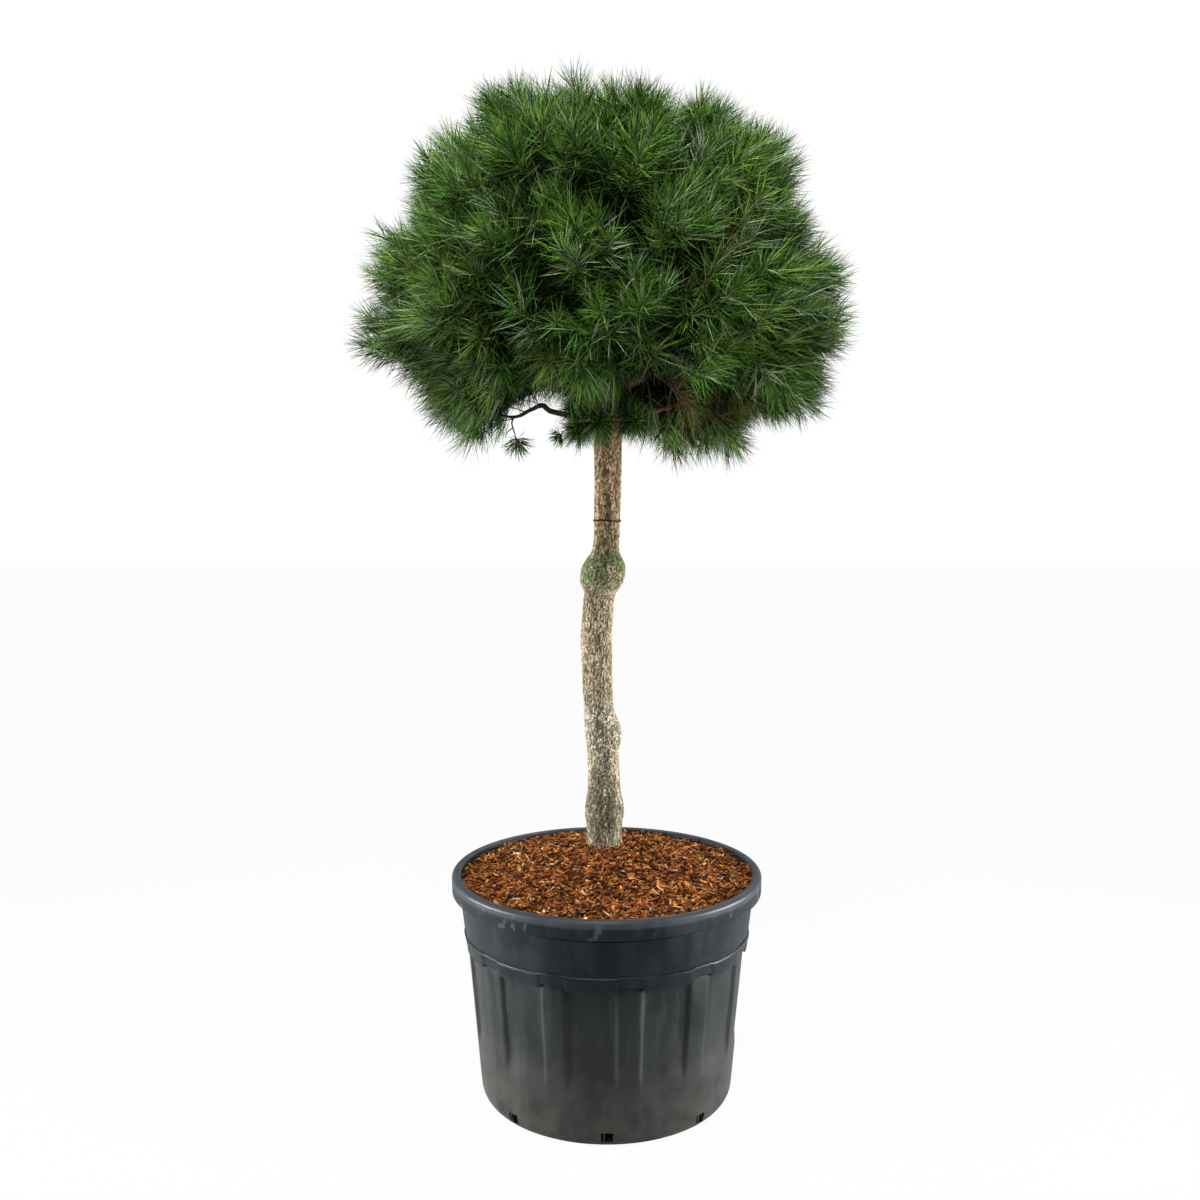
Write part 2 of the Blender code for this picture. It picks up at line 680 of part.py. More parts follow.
def build_tuft(foot, along, space, rng, length=TUFT_LENGTH, needle=NEEDLE_LENGTH):
    """A slim three-sided core with needles that stand out of it, or None if it doesn't fit."""
    across = along.orthogonal().normalized()
    up = along.cross(across)
    spin = rng.uniform(0.0, 2.0 * math.pi)
    levels = ((0.0, 0.35), (STALK_SHARE, 0.45), (0.70, 1.0))
    points = []
    for row, (share, width) in enumerate(levels):
        for side in range(3):
            turn = spin + math.radians(120.0 * side + 60.0 * row)
            out = across * math.cos(turn) + up * math.sin(turn)
            points.append(foot + along * (length * share) + out * (TUFT_RADIUS * width))
    tip = foot + along * length
    points.append(tip)
    if not space.holds([*points, *along_line(foot, tip)], 0.0005):
        return None
    rows = [[], []]
    faces = [(2, 1, 0)]
    for side in range(3):
        nxt = (side + 1) % 3
        faces += [(side, nxt, 3 + side), (nxt, 3 + nxt, 3 + side)]
        rows[0] += [(3 + side, 3 + nxt, 6 + side), (3 + nxt, 6 + nxt, 6 + side)]
        rows[1].append((6 + side, 6 + nxt, 9))
    for row, triangles in enumerate(rows):
        for triangle in triangles:
            faces += needle_faces(points, triangle, foot, along, row, space, rng, needle)
    return add_object("tuft", points, faces, None)


def fit_tuft(foot, along, space, rng):
    """A tuft at its place, or moved a little towards the mass's middle to fit in its space."""
    inward = space.site - foot
    inward = (inward - along * inward.dot(along)).normalized()
    for push in (0.0, 0.012, 0.024, 0.036):
        moved = foot + inward * push
        tuft = build_tuft(moved, along, space, rng)
        if tuft:
            return tuft, moved
    return None, foot


def needle_faces(points, triangle, foot, along, row, space, rng, needle):
    """The triangle, drawn out into a needle where that needle fits in the space."""
    if row == 0 and rng.random() < MISSING_NEEDLES:
        return [triangle]
    corners = [points[k] for k in triangle]
    middle = (corners[0] + corners[1] + corners[2]) / 3.0
    out = middle - foot
    out = (out - along * out.dot(along)).normalized()
    lean = math.radians(NEEDLE_LEANS[row] + rng.uniform(-5.0, 5.0))
    apex = middle + (out * math.sin(lean) + along * math.cos(lean)) * needle * rng.uniform(0.88, 1.06)
    if not space.holds(along_line(middle, apex)[1:], 0.0012):
        return [triangle]
    points.append(apex)
    top = len(points) - 1
    a, b, c = triangle
    return [(a, b, top), (b, c, top), (c, a, top)]


def core_limit(ray):
    """How far a mass's dense middle reaches from the crown's middle along a ray."""
    reach, _ = reach_towards(CROWN_MIDDLE + ray)
    return reach - CORE_INSET + CORE_LUMPS * noise.noise(ray * 3.1)


def core_floor(point):
    """The lowest height of the dense middles at a point's place in plan."""
    outward = math.hypot(point.x - CROWN_MIDDLE.x, point.y - CROWN_MIDDLE.y)
    return CORE_FLOOR - 1.2 * max(0.0, outward - CORE_FLOOR_REACH)


def core_planes(space, tip, tip_along):
    """Outward normals and offsets of the flat sides that bound a mass's core."""
    planes = [(Vector(normal), float(offset)) for normal, offset in zip(space.normals, space.offsets)]
    planes.append((-tip_along, -tip_along.dot(tip) - CORE_TIP_CLEAR))
    outward = Vector((tip.x - CROWN_MIDDLE.x, tip.y - CROWN_MIDDLE.y, 0.0))
    if outward.length > CROWN_HOLLOW / 2.0:
        outward.normalize()
        planes.append((-outward, -outward.dot(CROWN_MIDDLE) - CROWN_HOLLOW))
    return planes


def build_core(planes):
    """A lumpy dense middle: the crown's inner shape, cut to the mass's own space."""
    work = bmesh.new()
    bmesh.ops.create_icosphere(work, subdivisions=3, radius=1.0)
    for vertex in work.verts:
        ray = vertex.co.normalized()
        spot = CROWN_MIDDLE + ray * core_limit(ray)
        spot.z = max(spot.z, core_floor(spot))
        vertex.co = spot
    for normal, offset in planes:
        geometry = [*work.verts, *work.edges, *work.faces]
        bmesh.ops.bisect_plane(work, geom=geometry, dist=0.0002, plane_co=normal * offset, plane_no=normal,
                               clear_outer=True)
        open_edges = [edge for edge in work.edges if edge.is_boundary]
        bmesh.ops.holes_fill(work, edges=open_edges, sides=0)
    points = [vertex.co.copy() for vertex in work.verts]
    faces = [tuple(vertex.index for vertex in face.verts) for face in work.faces]
    work.free()
    return add_object("core", points, faces, None)


def sunk_in_core(foot, core):
    """Whether a point lies well inside a mass's core."""
    _, spot, normal, _ = core.closest_point_on_mesh(foot)
    return normal.dot(foot - spot) < -CORE_SINK


def fuse(name, pieces, made_of):
    """Join overlapping closed pieces into the one solid of a mass."""
    body = pieces[0]
    group = bpy.data.collections.new(name + "_pieces")
    for piece in pieces[1:]:
        group.objects.link(piece)
        bpy.context.scene.collection.objects.unlink(piece)
    bpy.context.scene.collection.children.link(group)
    body.name = name
    apply_boolean(body, "UNION", "MANIFOLD", group=group)
    body.data.name = name
    body.data.materials.clear()
    body.data.materials.append(made_of)
    body.data.shade_flat()
    return body


def tuft_directions():
    """Even directions over the crown, as (azimuth, angle from straight up)."""
    golden = 180.0 * (3.0 - math.sqrt(5.0))
    found = []
    for k in range(TUFT_COUNT):
        height = 1.0 - 2.0 * (k + 0.5) / TUFT_COUNT
        found.append(((k * golden) % 360.0, math.degrees(math.acos(height))))
    return found


def tuft_places(rng):
    """Foot and direction of each tuft, whose needles end at the crown's reach."""
    places = []
    for azimuth, angle in tuft_directions():
        azimuth += rng.uniform(-4.0, 4.0)
        angle = min(angle + rng.uniform(-3.0, 3.0), 178.0)
        out = direction(azimuth, max(angle, 0.0))
        lift = TUFT_LIFT * (1.0 - smooth(95.0, 125.0, angle))
        along = (out + Vector((0.0, 0.0, lift))).normalized()
        reach = reach_of(azimuth, max(angle, 0.0)) * rng.uniform(0.985, 1.030)
        end = CROWN_MIDDLE + out * reach
        places.append((end - along * TUFT_REACH, along))
    return places


def nearest_site(point, sites):
    return min(sites, key=lambda name: (point - sites[name]).length)


def group_places(places):
    """Split a mass's tufts into groups of neighbours, each fed by one branchlet."""
    left = list(places)
    groups = []
    while left:
        first = left[0][0]
        left.sort(key=lambda place: (place[0] - first).length)
        groups.append(left[:GROUP_SIZE])
        left = left[GROUP_SIZE:]
    return groups


def build_mass(name, space, tip, tip_along, places, rng, made_of):
    """Stem, branchlets and twigs with their tufts, and the dense core they stand out of."""
    site = space.site
    planes = core_planes(space, tip, tip_along)
    core = build_core(planes)
    pieces = [core]
    start = tip + tip_along * GAP
    pieces.append(tube("stem", [start, start + tip_along * CORE_TIP_CLEAR, site], STEM_RADII, 6, None))
    for group in group_places(places):
        middle = sum((foot for foot, _ in group), Vector()) / len(group)
        fork = site.lerp(middle, FORK_SHARE)
        if not space.holds(along_line(site, fork), BRANCHLET_RADII[0]):
            fork = site.lerp(middle, SHORT_FORK_SHARE)
        past_fork = fork + (fork - site).normalized() * BRANCHLET_RADII[0]
        pieces.append(tube("branchlet", [site, past_fork], BRANCHLET_RADII, 4, None))
        for foot, along in group:
            tuft, foot = fit_tuft(foot, along, space, rng)
            if tuft is None:
                continue
            end = foot + along * (0.2 * TUFT_LENGTH)
            if not sunk_in_core(foot, core):
                if not space.holds(along_line(fork, end, 9), TWIG_RADII[0]):
                    bpy.data.objects.remove(tuft)
                    continue
                pieces.append(tube("twig", [fork, end], TWIG_RADII, 3, None))
            pieces.append(tuft)
    return fuse(name, pieces, made_of)


def spray_middle(plan):
    """The middle of a small spray's space."""
    start, end = spray_foot(plan)[0], Vector(plan[2])
    return end + (end - start).normalized() * 0.012


def spray_foot(plan):
    """Where a small spray's shoot starts, and the direction in which it starts."""
    if plan[1] is None:
        centres, _ = hanging_twig_line()
        along = (centres[-1] - centres[-2]).normalized()
        return centres[-1] + along * GAP, along
    azimuth, height = plan[1]
    out = direction(azimuth, 90.0)
    return trunk_centre(height) + out * (trunk_radius(height, azimuth) + 2.0 * GAP), out


def build_spray(plan, limbs, rng, made_of):
    """A small open spray: one stem with a few tufts and no core."""
    name, _, end, size, count = plan
    end = Vector(end)
    start, out = spray_foot(plan)
    space = Ball(spray_middle(plan), size, limbs)
    pieces = [tube("stem", [start, start + out * 0.007, end], SPRAY_STEM, 5, None)]
    along = (end - start).normalized()
    across = along.orthogonal().normalized()
    for k in range(count):
        turn = math.radians(360.0 * k / count + 40.0)
        side = across * math.cos(turn) + along.cross(across) * math.sin(turn)
        shoot = (along * 0.9 + side * (0.75 if k else 0.15)).normalized()
        tuft = build_tuft(end - shoot * 0.006, shoot, space, rng, length=SPRAY_TUFT, needle=SPRAY_NEEDLE)
        if tuft:
            pieces.append(tuft)
    return fuse(name, pieces, made_of)


def main():
    clear_scene()
    rng = random.Random(SEED)
    container = material("container_plastic", (0.030, 0.034, 0.038), 0.45)
    mulch = material("bark_mulch", (0.200, 0.070, 0.026), 0.95)
    bark = material("bark", (0.160, 0.120, 0.085), 0.90)
    young_bark = material("young_bark", (0.120, 0.070, 0.040), 0.85)
    needles = material("needles", (0.050, 0.120, 0.035), 0.60)
    wire = material("tie_wire", (0.015, 0.015, 0.016), 0.50)

    build_container(container)
    build_root_ball(mulch)
    build_trunk("trunk", bark)
    build_tie(wire)

    plans = bough_plan()
    lines = [trunk_rings(0.0)]
    for plan in plans:
        build_bough(plan, young_bark)
        lines.append(limb_line(plan[1], plan[2], plan[3], rings_for(plan[1])))
    left_bough = next(plan for plan in plans if plan[0] == "bough_lower_1")
    _, twig_centres, twig_radii = build_hanging_twig(left_bough, young_bark)
    lines.append((twig_centres, twig_radii))
    limbs = limb_segments(lines)

    sprays = (HANGING_SPRAY, STEM_SPRAY_LEFT, STEM_SPRAY_RIGHT)
    balls = [(np.array(spray_middle(plan)), plan[3]) for plan in sprays]
    sites = all_sites()
    feet = {name: [] for name in sites}
    for foot, along in tuft_places(rng):
        feet[nearest_site(foot, sites)].append((foot, along))

    for name, site in sites.items():
        if name == "foliage_top":
            tip = trunk_centre(TRUNK_STATIONS[-1][0])
            tip_along = Vector((0.0, 0.0, 1.0))
        else:
            plan = next(plan for plan in plans if plan[4] == name)
            centres, _ = limb_line(plan[1], plan[2], plan[3], rings_for(plan[1]))
            tip = centres[-1]
            tip_along = (centres[-1] - centres[-2]).normalized()
        space = Space(name, sites, limbs, balls)
        build_mass(name, space, tip, tip_along, feet[name], rng, needles)

    for plan in sprays:
        build_spray(plan, limbs, rng, needles)


main()
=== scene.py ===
# %% [markdown]
# # A standard pine in its nursery container
#
# A standard is a shrub or tree grown as a round crown on one clear stem. This one is a pine with
# long needles. Its hard parts, the container and the stem, are turned and tapered surfaces. Its
# soft part is a crown of over a thousand shoots, each a small brush of needles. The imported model
# holds the plain solids, and this file grows the fine surfaces on them.

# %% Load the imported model
import json
import math
import random
from collections import namedtuple

import bmesh
import bpy
import numpy as np
from mathutils import Matrix, Vector, noise

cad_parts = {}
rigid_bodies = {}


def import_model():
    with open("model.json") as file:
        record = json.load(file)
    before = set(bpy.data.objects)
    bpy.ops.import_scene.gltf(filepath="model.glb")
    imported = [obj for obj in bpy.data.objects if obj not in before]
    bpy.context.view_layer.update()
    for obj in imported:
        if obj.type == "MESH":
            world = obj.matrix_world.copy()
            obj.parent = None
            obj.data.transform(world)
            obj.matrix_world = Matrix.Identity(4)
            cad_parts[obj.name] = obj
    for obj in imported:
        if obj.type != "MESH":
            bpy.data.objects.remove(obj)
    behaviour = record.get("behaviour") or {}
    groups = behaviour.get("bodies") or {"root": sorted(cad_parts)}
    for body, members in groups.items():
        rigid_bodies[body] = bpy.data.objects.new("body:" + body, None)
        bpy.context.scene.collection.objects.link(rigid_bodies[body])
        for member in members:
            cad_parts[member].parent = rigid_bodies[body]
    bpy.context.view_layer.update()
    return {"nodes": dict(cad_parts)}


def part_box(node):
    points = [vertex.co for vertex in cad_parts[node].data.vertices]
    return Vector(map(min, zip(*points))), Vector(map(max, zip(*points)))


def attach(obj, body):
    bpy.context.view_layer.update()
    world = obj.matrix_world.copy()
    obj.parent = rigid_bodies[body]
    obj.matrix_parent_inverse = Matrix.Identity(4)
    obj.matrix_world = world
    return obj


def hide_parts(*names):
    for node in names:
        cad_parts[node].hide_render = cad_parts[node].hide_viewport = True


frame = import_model()
print("packed nodes:", len(frame["nodes"]))

# %% [markdown]
# ## Camera and lamps
#
# The camera comes first, because every later choice is judged through it. It stands a little
# above the middle of the plant and looks slightly down. Large area lamps give the light its
# direction: one overhead, one in front, one at the back, and two low at the sides for the
# container. Large lamps are chosen because a crown of needles turns hard light into noise.

# %% Camera
EYE = (-0.0125, -2.456, 1.209)
LOOKING_DOWN = 6.21
FOCAL_LENGTH = 40.11


def add_object(name, data):
    """A new object in the scene."""
    obj = bpy.data.objects.new(name, data)
    bpy.context.scene.collection.objects.link(obj)
    return obj


camera_data = bpy.data.cameras.new("view")
camera_data.lens = FOCAL_LENGTH
camera_data.sensor_width = 36.0
camera = add_object("view", camera_data)
camera.location = EYE
camera.rotation_euler = (math.radians(90.0 - LOOKING_DOWN), 0.0, 0.0)
bpy.context.scene.camera = camera
bpy.context.scene.view_settings.view_transform = "Standard"
print("camera at", EYE)

# %% Lamps
LAMPS = {
    # name: (place, what it faces, width, height, watts, spread in degrees)
    "overhead": ((-0.3, -1.6, 4.2), (0.0, 0.0, 1.5), 1.0, 1.0, 160.0, 180.0),
    "front": ((-0.7, -3.8, 2.2), (0.0, 0.0, 0.9), 1.8, 1.6, 66.0, 180.0),
    "left_wall": ((-2.6, -0.1, 0.62), (0.0, 0.0, 0.20), 1.6, 0.8, 32.0, 60.0),
    "right_wall": ((2.6, -0.1, 0.62), (0.0, 0.0, 0.20), 1.6, 0.8, 34.0, 60.0),
    "rear": ((0.6, 3.2, 3.2), (0.0, 0.0, 1.2), 1.6, 1.4, 40.0, 180.0),
}

for name, (place, target, width, height, watts, spread) in LAMPS.items():
    lamp = bpy.data.lights.new(name, "AREA")
    lamp.shape = "RECTANGLE"
    lamp.size, lamp.size_y = width, height
    lamp.energy = watts
    lamp.spread = math.radians(spread)
    obj = add_object(name, lamp)
    obj.location = place
    obj.rotation_euler = (Vector(target) - Vector(place)).to_track_quat("-Z", "Y").to_euler()
print("lamps:", ", ".join(LAMPS))

# %% [markdown]
# ## Small helpers for node trees
#
# Materials and Geometry Nodes are both graphs of nodes. These helpers keep the rest of the file
# readable. One adds a node with its settings, three add the commonest nodes and give back what
# they put out, and one makes a new group with named sockets.

# %% Node helpers
FLOAT, VECTOR, INT = "NodeSocketFloat", "NodeSocketVector", "NodeSocketInt"
GEOMETRY, MATERIAL = "NodeSocketGeometry", "NodeSocketMaterial"


def add_node(tree, kind, values=None, **settings):
    """A node with its plain settings and the values of some of its inputs."""
    node = tree.nodes.new(kind)
    for key, value in settings.items():
        setattr(node, key, value)
    for key, value in (values or {}).items():
        if isinstance(value, bpy.types.NodeSocket):
            tree.links.new(value, node.inputs[key])
        else:
            node.inputs[key].default_value = value
    return node


def maths(tree, operation, first, second):
    return add_node(tree, "ShaderNodeMath", {0: first, 1: second}, operation=operation).outputs[0]


def vector_maths(tree, operation, first, second):
    other = 3 if operation == "SCALE" else 1
    return add_node(tree, "ShaderNodeVectorMath", {0: first, other: second}, operation=operation).outputs[0]


def remap(tree, value, low, high, to_low=0.0, to_high=1.0, kind="SMOOTHSTEP"):
    """A value taken from one range to another."""
    ends = {"Value": value, "From Min": low, "From Max": high, "To Min": to_low, "To Max": to_high}
    return add_node(tree, "ShaderNodeMapRange", ends, interpolation_type=kind).outputs[0]


def new_group(name, kind, inputs, outputs):
    """A node group with named sockets, with what it is given and what it puts out."""
    group = bpy.data.node_groups.new(name, kind)
    for side, sockets in (("INPUT", inputs), ("OUTPUT", outputs)):
        for label, socket_type, *value in sockets:
            socket = group.interface.new_socket(label, in_out=side, socket_type=socket_type)
            if value:
                socket.default_value = value[0]
    return group, group.nodes.new("NodeGroupInput").outputs, group.nodes.new("NodeGroupOutput").inputs

# %% [markdown]
# ## World and floor
#
# The studio is white to the camera, but it would wash the plant out if it also lit it so
# strongly. The kind of ray decides: a ray from the camera meets white, a mirrored one a softer
# glow, and all others a faint fill. The floor is white to the camera in the same way, and a
# plain grey under the light.

# %% World
WHITE = (1.0, 1.0, 1.0, 1.0)
GLOWS = (0.16, 0.36, 1.05)  # the fill, what is mirrored and what the camera sees

world = bpy.data.worlds.new("studio")
bpy.context.scene.world = world
world.use_nodes = True
sky = world.node_tree
sky.nodes.clear()
fill, mirrored, seen = (add_node(sky, "ShaderNodeBackground", {"Color": WHITE, "Strength": glow}).outputs[0]
                        for glow in GLOWS)
ray = add_node(sky, "ShaderNodeLightPath").outputs
glow = add_node(sky, "ShaderNodeMixShader", {0: ray["Is Glossy Ray"], 1: fill, 2: mirrored})
shown = add_node(sky, "ShaderNodeMixShader", {0: ray["Is Camera Ray"], 1: glow.outputs[0], 2: seen})
add_node(sky, "ShaderNodeOutputWorld", {"Surface": shown.outputs[0]})
print("world glows:", GLOWS)

# %% Floor
FLOOR_HALF, FLOOR_DROP = 12.0, 0.0005
FLOOR_GREY, FLOOR_GLOW = (0.36, 0.36, 0.36, 1.0), 0.96

floor_mesh = bpy.data.meshes.new("studio_floor")
floor_mesh.from_pydata([(FLOOR_HALF * x, FLOOR_HALF * y, -FLOOR_DROP)
                        for x, y in ((-1, -1), (1, -1), (1, 1), (-1, 1))], [], [(0, 1, 2, 3)])
studio_floor = add_object("studio_floor", floor_mesh)
floor_finish = bpy.data.materials.new("studio_floor")
floor_finish.use_nodes = True
floor_tree = floor_finish.node_tree
floor_paint = floor_tree.nodes["Principled BSDF"]
floor_paint.inputs["Base Color"].default_value = FLOOR_GREY
floor_paint.inputs["Roughness"].default_value = 0.9
floor_ray = add_node(floor_tree, "ShaderNodeLightPath").outputs["Is Camera Ray"]
floor_mix = add_node(floor_tree, "ShaderNodeMixShader",
                     {0: maths(floor_tree, "MULTIPLY", floor_ray, FLOOR_GLOW), 1: floor_paint.outputs["BSDF"],
                      2: add_node(floor_tree, "ShaderNodeEmission").outputs[0]})
floor_tree.links.new(floor_mix.outputs[0], floor_tree.nodes["Material Output"].inputs["Surface"])
floor_mesh.materials.append(floor_finish)
print("floor:", 2 * FLOOR_HALF, "m wide")

# %% [markdown]
# ## Shared shader effects
#
# Several finishes are cloudy, dusty or stained in patches, so one group makes a patchy mask. A
# second group makes a mask from height, for what gathers low down or shows only high up. A third
# gives fine grain for the Bump node. A group is built once and placed in each material with its
# own values.

# %% Patches: a cloudy mask with a chosen coverage
patches, given, result = new_group(
    "patches", "ShaderNodeTree",
    [("Position", VECTOR), ("Scale", FLOAT, 10.0), ("Stretch", VECTOR, (1.0, 1.0, 1.0)),
     ("Coverage", FLOAT, 0.5), ("Softness", FLOAT, 0.1), ("Detail", FLOAT, 4.0)],
    [("Mask", FLOAT)])
cloud = add_node(patches, "ShaderNodeTexNoise",
                 {"Vector": vector_maths(patches, "MULTIPLY", given["Position"], given["Stretch"]),
                  "Scale": given["Scale"], "Detail": given["Detail"], "Roughness": 0.6})
bare = maths(patches, "SUBTRACT", 1.0, given["Coverage"])
patches.links.new(remap(patches, cloud.outputs["Fac"], maths(patches, "SUBTRACT", bare, given["Softness"]),
                        maths(patches, "ADD", bare, given["Softness"])), result["Mask"])

# %% Height band: 1 between two heights, fading out on both sides
height_band, given, result = new_group(
    "height_band", "ShaderNodeTree",
    [("Position", VECTOR), ("Low", FLOAT, 0.0), ("High", FLOAT, 1.0), ("Fade", FLOAT, 0.05)],
    [("Mask", FLOAT)])
level = add_node(height_band, "ShaderNodeSeparateXYZ", {"Vector": given["Position"]}).outputs["Z"]
low_start = maths(height_band, "SUBTRACT", given["Low"], given["Fade"])
high_end = maths(height_band, "ADD", given["High"], given["Fade"])
rise = remap(height_band, level, low_start, given["Low"])
drop = remap(height_band, level, given["High"], high_end, 1.0, 0.0)
height_band.links.new(maths(height_band, "MULTIPLY", rise, drop), result["Mask"])

# %% Fine grain: a height for the Bump node
fine_grain, given, result = new_group(
    "fine_grain", "ShaderNodeTree",
    [("Position", VECTOR), ("Scale", FLOAT, 300.0), ("Stretch", VECTOR, (1.0, 1.0, 1.0))],
    [("Height", FLOAT)])
grain = add_node(fine_grain, "ShaderNodeTexNoise",
                 {"Vector": vector_maths(fine_grain, "MULTIPLY", given["Position"], given["Stretch"]),
                  "Scale": given["Scale"], "Detail": 5.0, "Roughness": 0.65})
fine_grain.links.new(grain.outputs["Fac"], result["Height"])
print("shader groups:", patches.name, height_band.name, fine_grain.name)


# %% Material helpers
def new_material(name, roughness, shine=0.5):
    """A material with a Principled shader, and the position of the surface in the model."""
    made = bpy.data.materials.new(name)
    made.use_nodes = True
    tree = made.node_tree
    shader = tree.nodes["Principled BSDF"]
    shader.inputs["Roughness"].default_value = roughness
    shader.inputs["Specular IOR Level"].default_value = shine
    return made, tree, shader, add_node(tree, "ShaderNodeTexCoord").outputs["Object"]


def use_group(tree, group, position, **values):
    """A group's first output, with its inputs set by name."""
    return add_node(tree, "ShaderNodeGroup", {"Position": position, **values}, node_tree=group).outputs[0]


def patchy(tree, position, scale, coverage=0.5, softness=0.2, upright=1.0, detail=4.0):
    """A cloudy mask. With upright under 1 its patches are drawn out along the height."""
    return use_group(tree, patches, position, Scale=scale, Coverage=coverage, Softness=softness,
                     Stretch=(1.0, 1.0, upright), Detail=detail)


def band(tree, position, low, high, fade):
    return use_group(tree, height_band, position, Low=low, High=high, Fade=fade)


def mix(tree, share, first, second):
    """A colour mixed from two colours by a mask or a number."""
    first, second = (value if isinstance(value, bpy.types.NodeSocket) else (*value, 1.0)
                     for value in (first, second))
    return add_node(tree, "ShaderNodeMix", {0: share, 6: first, 7: second}, data_type="RGBA").outputs[2]


def times(tree, first, second):
    return maths(tree, "MULTIPLY", first, second)


def dress(tree, shader, position, colour, grain_scale, strength, distance, upright=1.0):
    """Give the shader its colour, and bump it with fine grain."""
    tree.links.new(colour, shader.inputs["Base Color"])
    height = use_group(tree, fine_grain, position, Scale=grain_scale, Stretch=(1.0, 1.0, upright))
    node = add_node(tree, "ShaderNodeBump", {"Height": height, "Strength": strength, "Distance": distance})
    tree.links.new(node.outputs["Normal"], shader.inputs["Normal"])

# %% [markdown]
# ## Finish of the container
#
# The container is moulded from dark grey plastic. It is slightly cloudy and duller on the wall,
# with a painted highlight, a lighter bluish band, along the top of the rim, a dusty olive film low
# down where rain splashes soil on it, and pale scuffs on the rim where it is carried. Every one of
# these is a mask that mixes a second colour or roughness into the first.

# %% Container plastic
def make_container_plastic():
    made, tree, shader, position = new_material("container_plastic", 0.5, 0.14)
    cloudy = patchy(tree, position, 7.0, 0.5, 0.12)
    wall = band(tree, position, -1.0, 0.290, 0.010)
    colour = mix(tree, wall, mix(tree, cloudy, (0.0030, 0.0050, 0.0066), (0.0058, 0.0086, 0.0105)),
                 mix(tree, cloudy, (0.0068, 0.0088, 0.0090), (0.0115, 0.0135, 0.0138)))
    film = times(tree, band(tree, position, -0.1, 0.02, 0.20), patchy(tree, position, 20.0, 0.56, 0.24))
    dusty = patchy(tree, position, 24.0, 0.46, 0.10, 0.35)
    drips = times(tree, wall, patchy(tree, position, 46.0, 0.42, 0.05, 0.10))
    scuffs = times(tree, band(tree, position, 0.394, 0.424, 0.004),
                   patchy(tree, position, 34.0, 0.38, 0.03, 0.55, 8.0))
    # painted highlight: a lighter bluish band along the top of the rim, where the overhead light falls
    painted_rim_highlight = band(tree, position, 0.4205, 0.50, 0.006)
    for mask, share, tint in (
            (film, 1.0, (0.0330, 0.0330, 0.0275)), (dusty, 0.25, (0.020, 0.024, 0.025)),
            (drips, 0.25, (0.034, 0.036, 0.033)), (scuffs, 0.42, (0.075, 0.085, 0.092)),
            (painted_rim_highlight, 0.4, (0.050, 0.060, 0.068))):
        colour = mix(tree, times(tree, mask, share), colour, tint)
    tree.links.new(remap(tree, dusty, 0.0, 1.0, 0.38, 0.54, "LINEAR"), shader.inputs["Roughness"])
    dress(tree, shader, position, colour, 420.0, 0.10, 0.0012)
    return made


container_plastic = make_container_plastic()
print("made", container_plastic.name)

# %% [markdown]
# ## Finish of the bark
#
# Old bark is grey-brown plates with dark cracks between them, and young bark higher up is orange
# and flaky. Green algae grow where the stem stays damp: on the graft union, on a swelling lower
# down and round the foot. Each stain is a row of one table. The mesh carries an attribute named
# relief, 0 in a crack and 1 on a plate, so the near-black colour falls exactly where the surface is
# deep: it is the darker bark of the cracks and painted shade in them as well.

# %% Bark of the stem
EVERYWHERE = (-1.0, 9.0, 0.1)
BARK_STAINS = (
    # low and high end and fade, scale, coverage, softness, upright, detail, share, tint
    (EVERYWHERE, 62.0, 0.46, 0.05, 0.09, 3.0, 0.45, (0.620, 0.480, 0.350)),  # ridges
    ((0.972, 1.022, 0.022), 64.0, 0.53, 0.05, 1.0, 4.0, 0.9, (0.130, 0.215, 0.066)),  # algae, four rows
    ((1.022, 1.064, 0.030), 64.0, 0.42, 0.05, 1.0, 4.0, 0.9, (0.215, 0.255, 0.110)),
    ((0.645, 0.735, 0.050), 64.0, 0.50, 0.05, 1.0, 4.0, 0.9, (0.190, 0.215, 0.150)),
    ((0.460, 0.560, 0.050), 64.0, 0.48, 0.05, 1.0, 4.0, 0.9, (0.085, 0.100, 0.050)),
    (EVERYWHERE, 280.0, 0.42, 0.03, 0.6, 2.0, 0.30, (0.600, 0.515, 0.385)),  # pale flakes
    (EVERYWHERE, 125.0, 0.42, 0.035, 0.14, 3.0, 0.60, (0.040, 0.029, 0.016)),  # long splits
    (EVERYWHERE, 235.0, 0.46, 0.035, 0.55, 2.0, 0.60, (0.030, 0.022, 0.012)),  # dark pits
    ((0.655, 0.735, 0.03), 200.0, 0.42, 0.02, 1.0, 2.0, 0.5, (0.640, 0.670, 0.560)),  # lichen specks
)


def make_bark():
    made, tree, shader, position = new_material("bark", 0.9, 0.25)
    relief = add_node(tree, "ShaderNodeAttribute", attribute_name="relief").outputs["Fac"]
    clouds = patchy(tree, position, 40.0, 0.5, 0.10, 0.4)
    plates = mix(tree, clouds, (0.238, 0.190, 0.112), (0.475, 0.388, 0.256))
    orange = mix(tree, clouds, (0.254, 0.153, 0.066), (0.530, 0.356, 0.176))
    grey = mix(tree, clouds, (0.058, 0.050, 0.031), (0.128, 0.110, 0.075))
    colour = mix(tree, band(tree, position, 1.08, 3.0, 0.12), plates, orange)
    colour = mix(tree, band(tree, position, -1.0, 0.56, 0.12), colour, grey)
    for heights, *patch, share, tint in BARK_STAINS:
        mask = times(tree, times(tree, band(tree, position, *heights), patchy(tree, position, *patch)), share)
        colour = mix(tree, mask, colour, tint)
    # near-black where the relief is low: the darker bark of the cracks, and painted shade in them
    crack_and_shade = remap(tree, relief, 0.12, 0.42, 0.85, 0.0, "LINEAR")
    colour = mix(tree, crack_and_shade, colour, (0.028, 0.020, 0.011))
    dress(tree, shader, position, colour, 260.0, 0.6, 0.002, 0.5)
    return made


bark = make_bark()
print("made", bark.name, "with", len(BARK_STAINS), "stains")


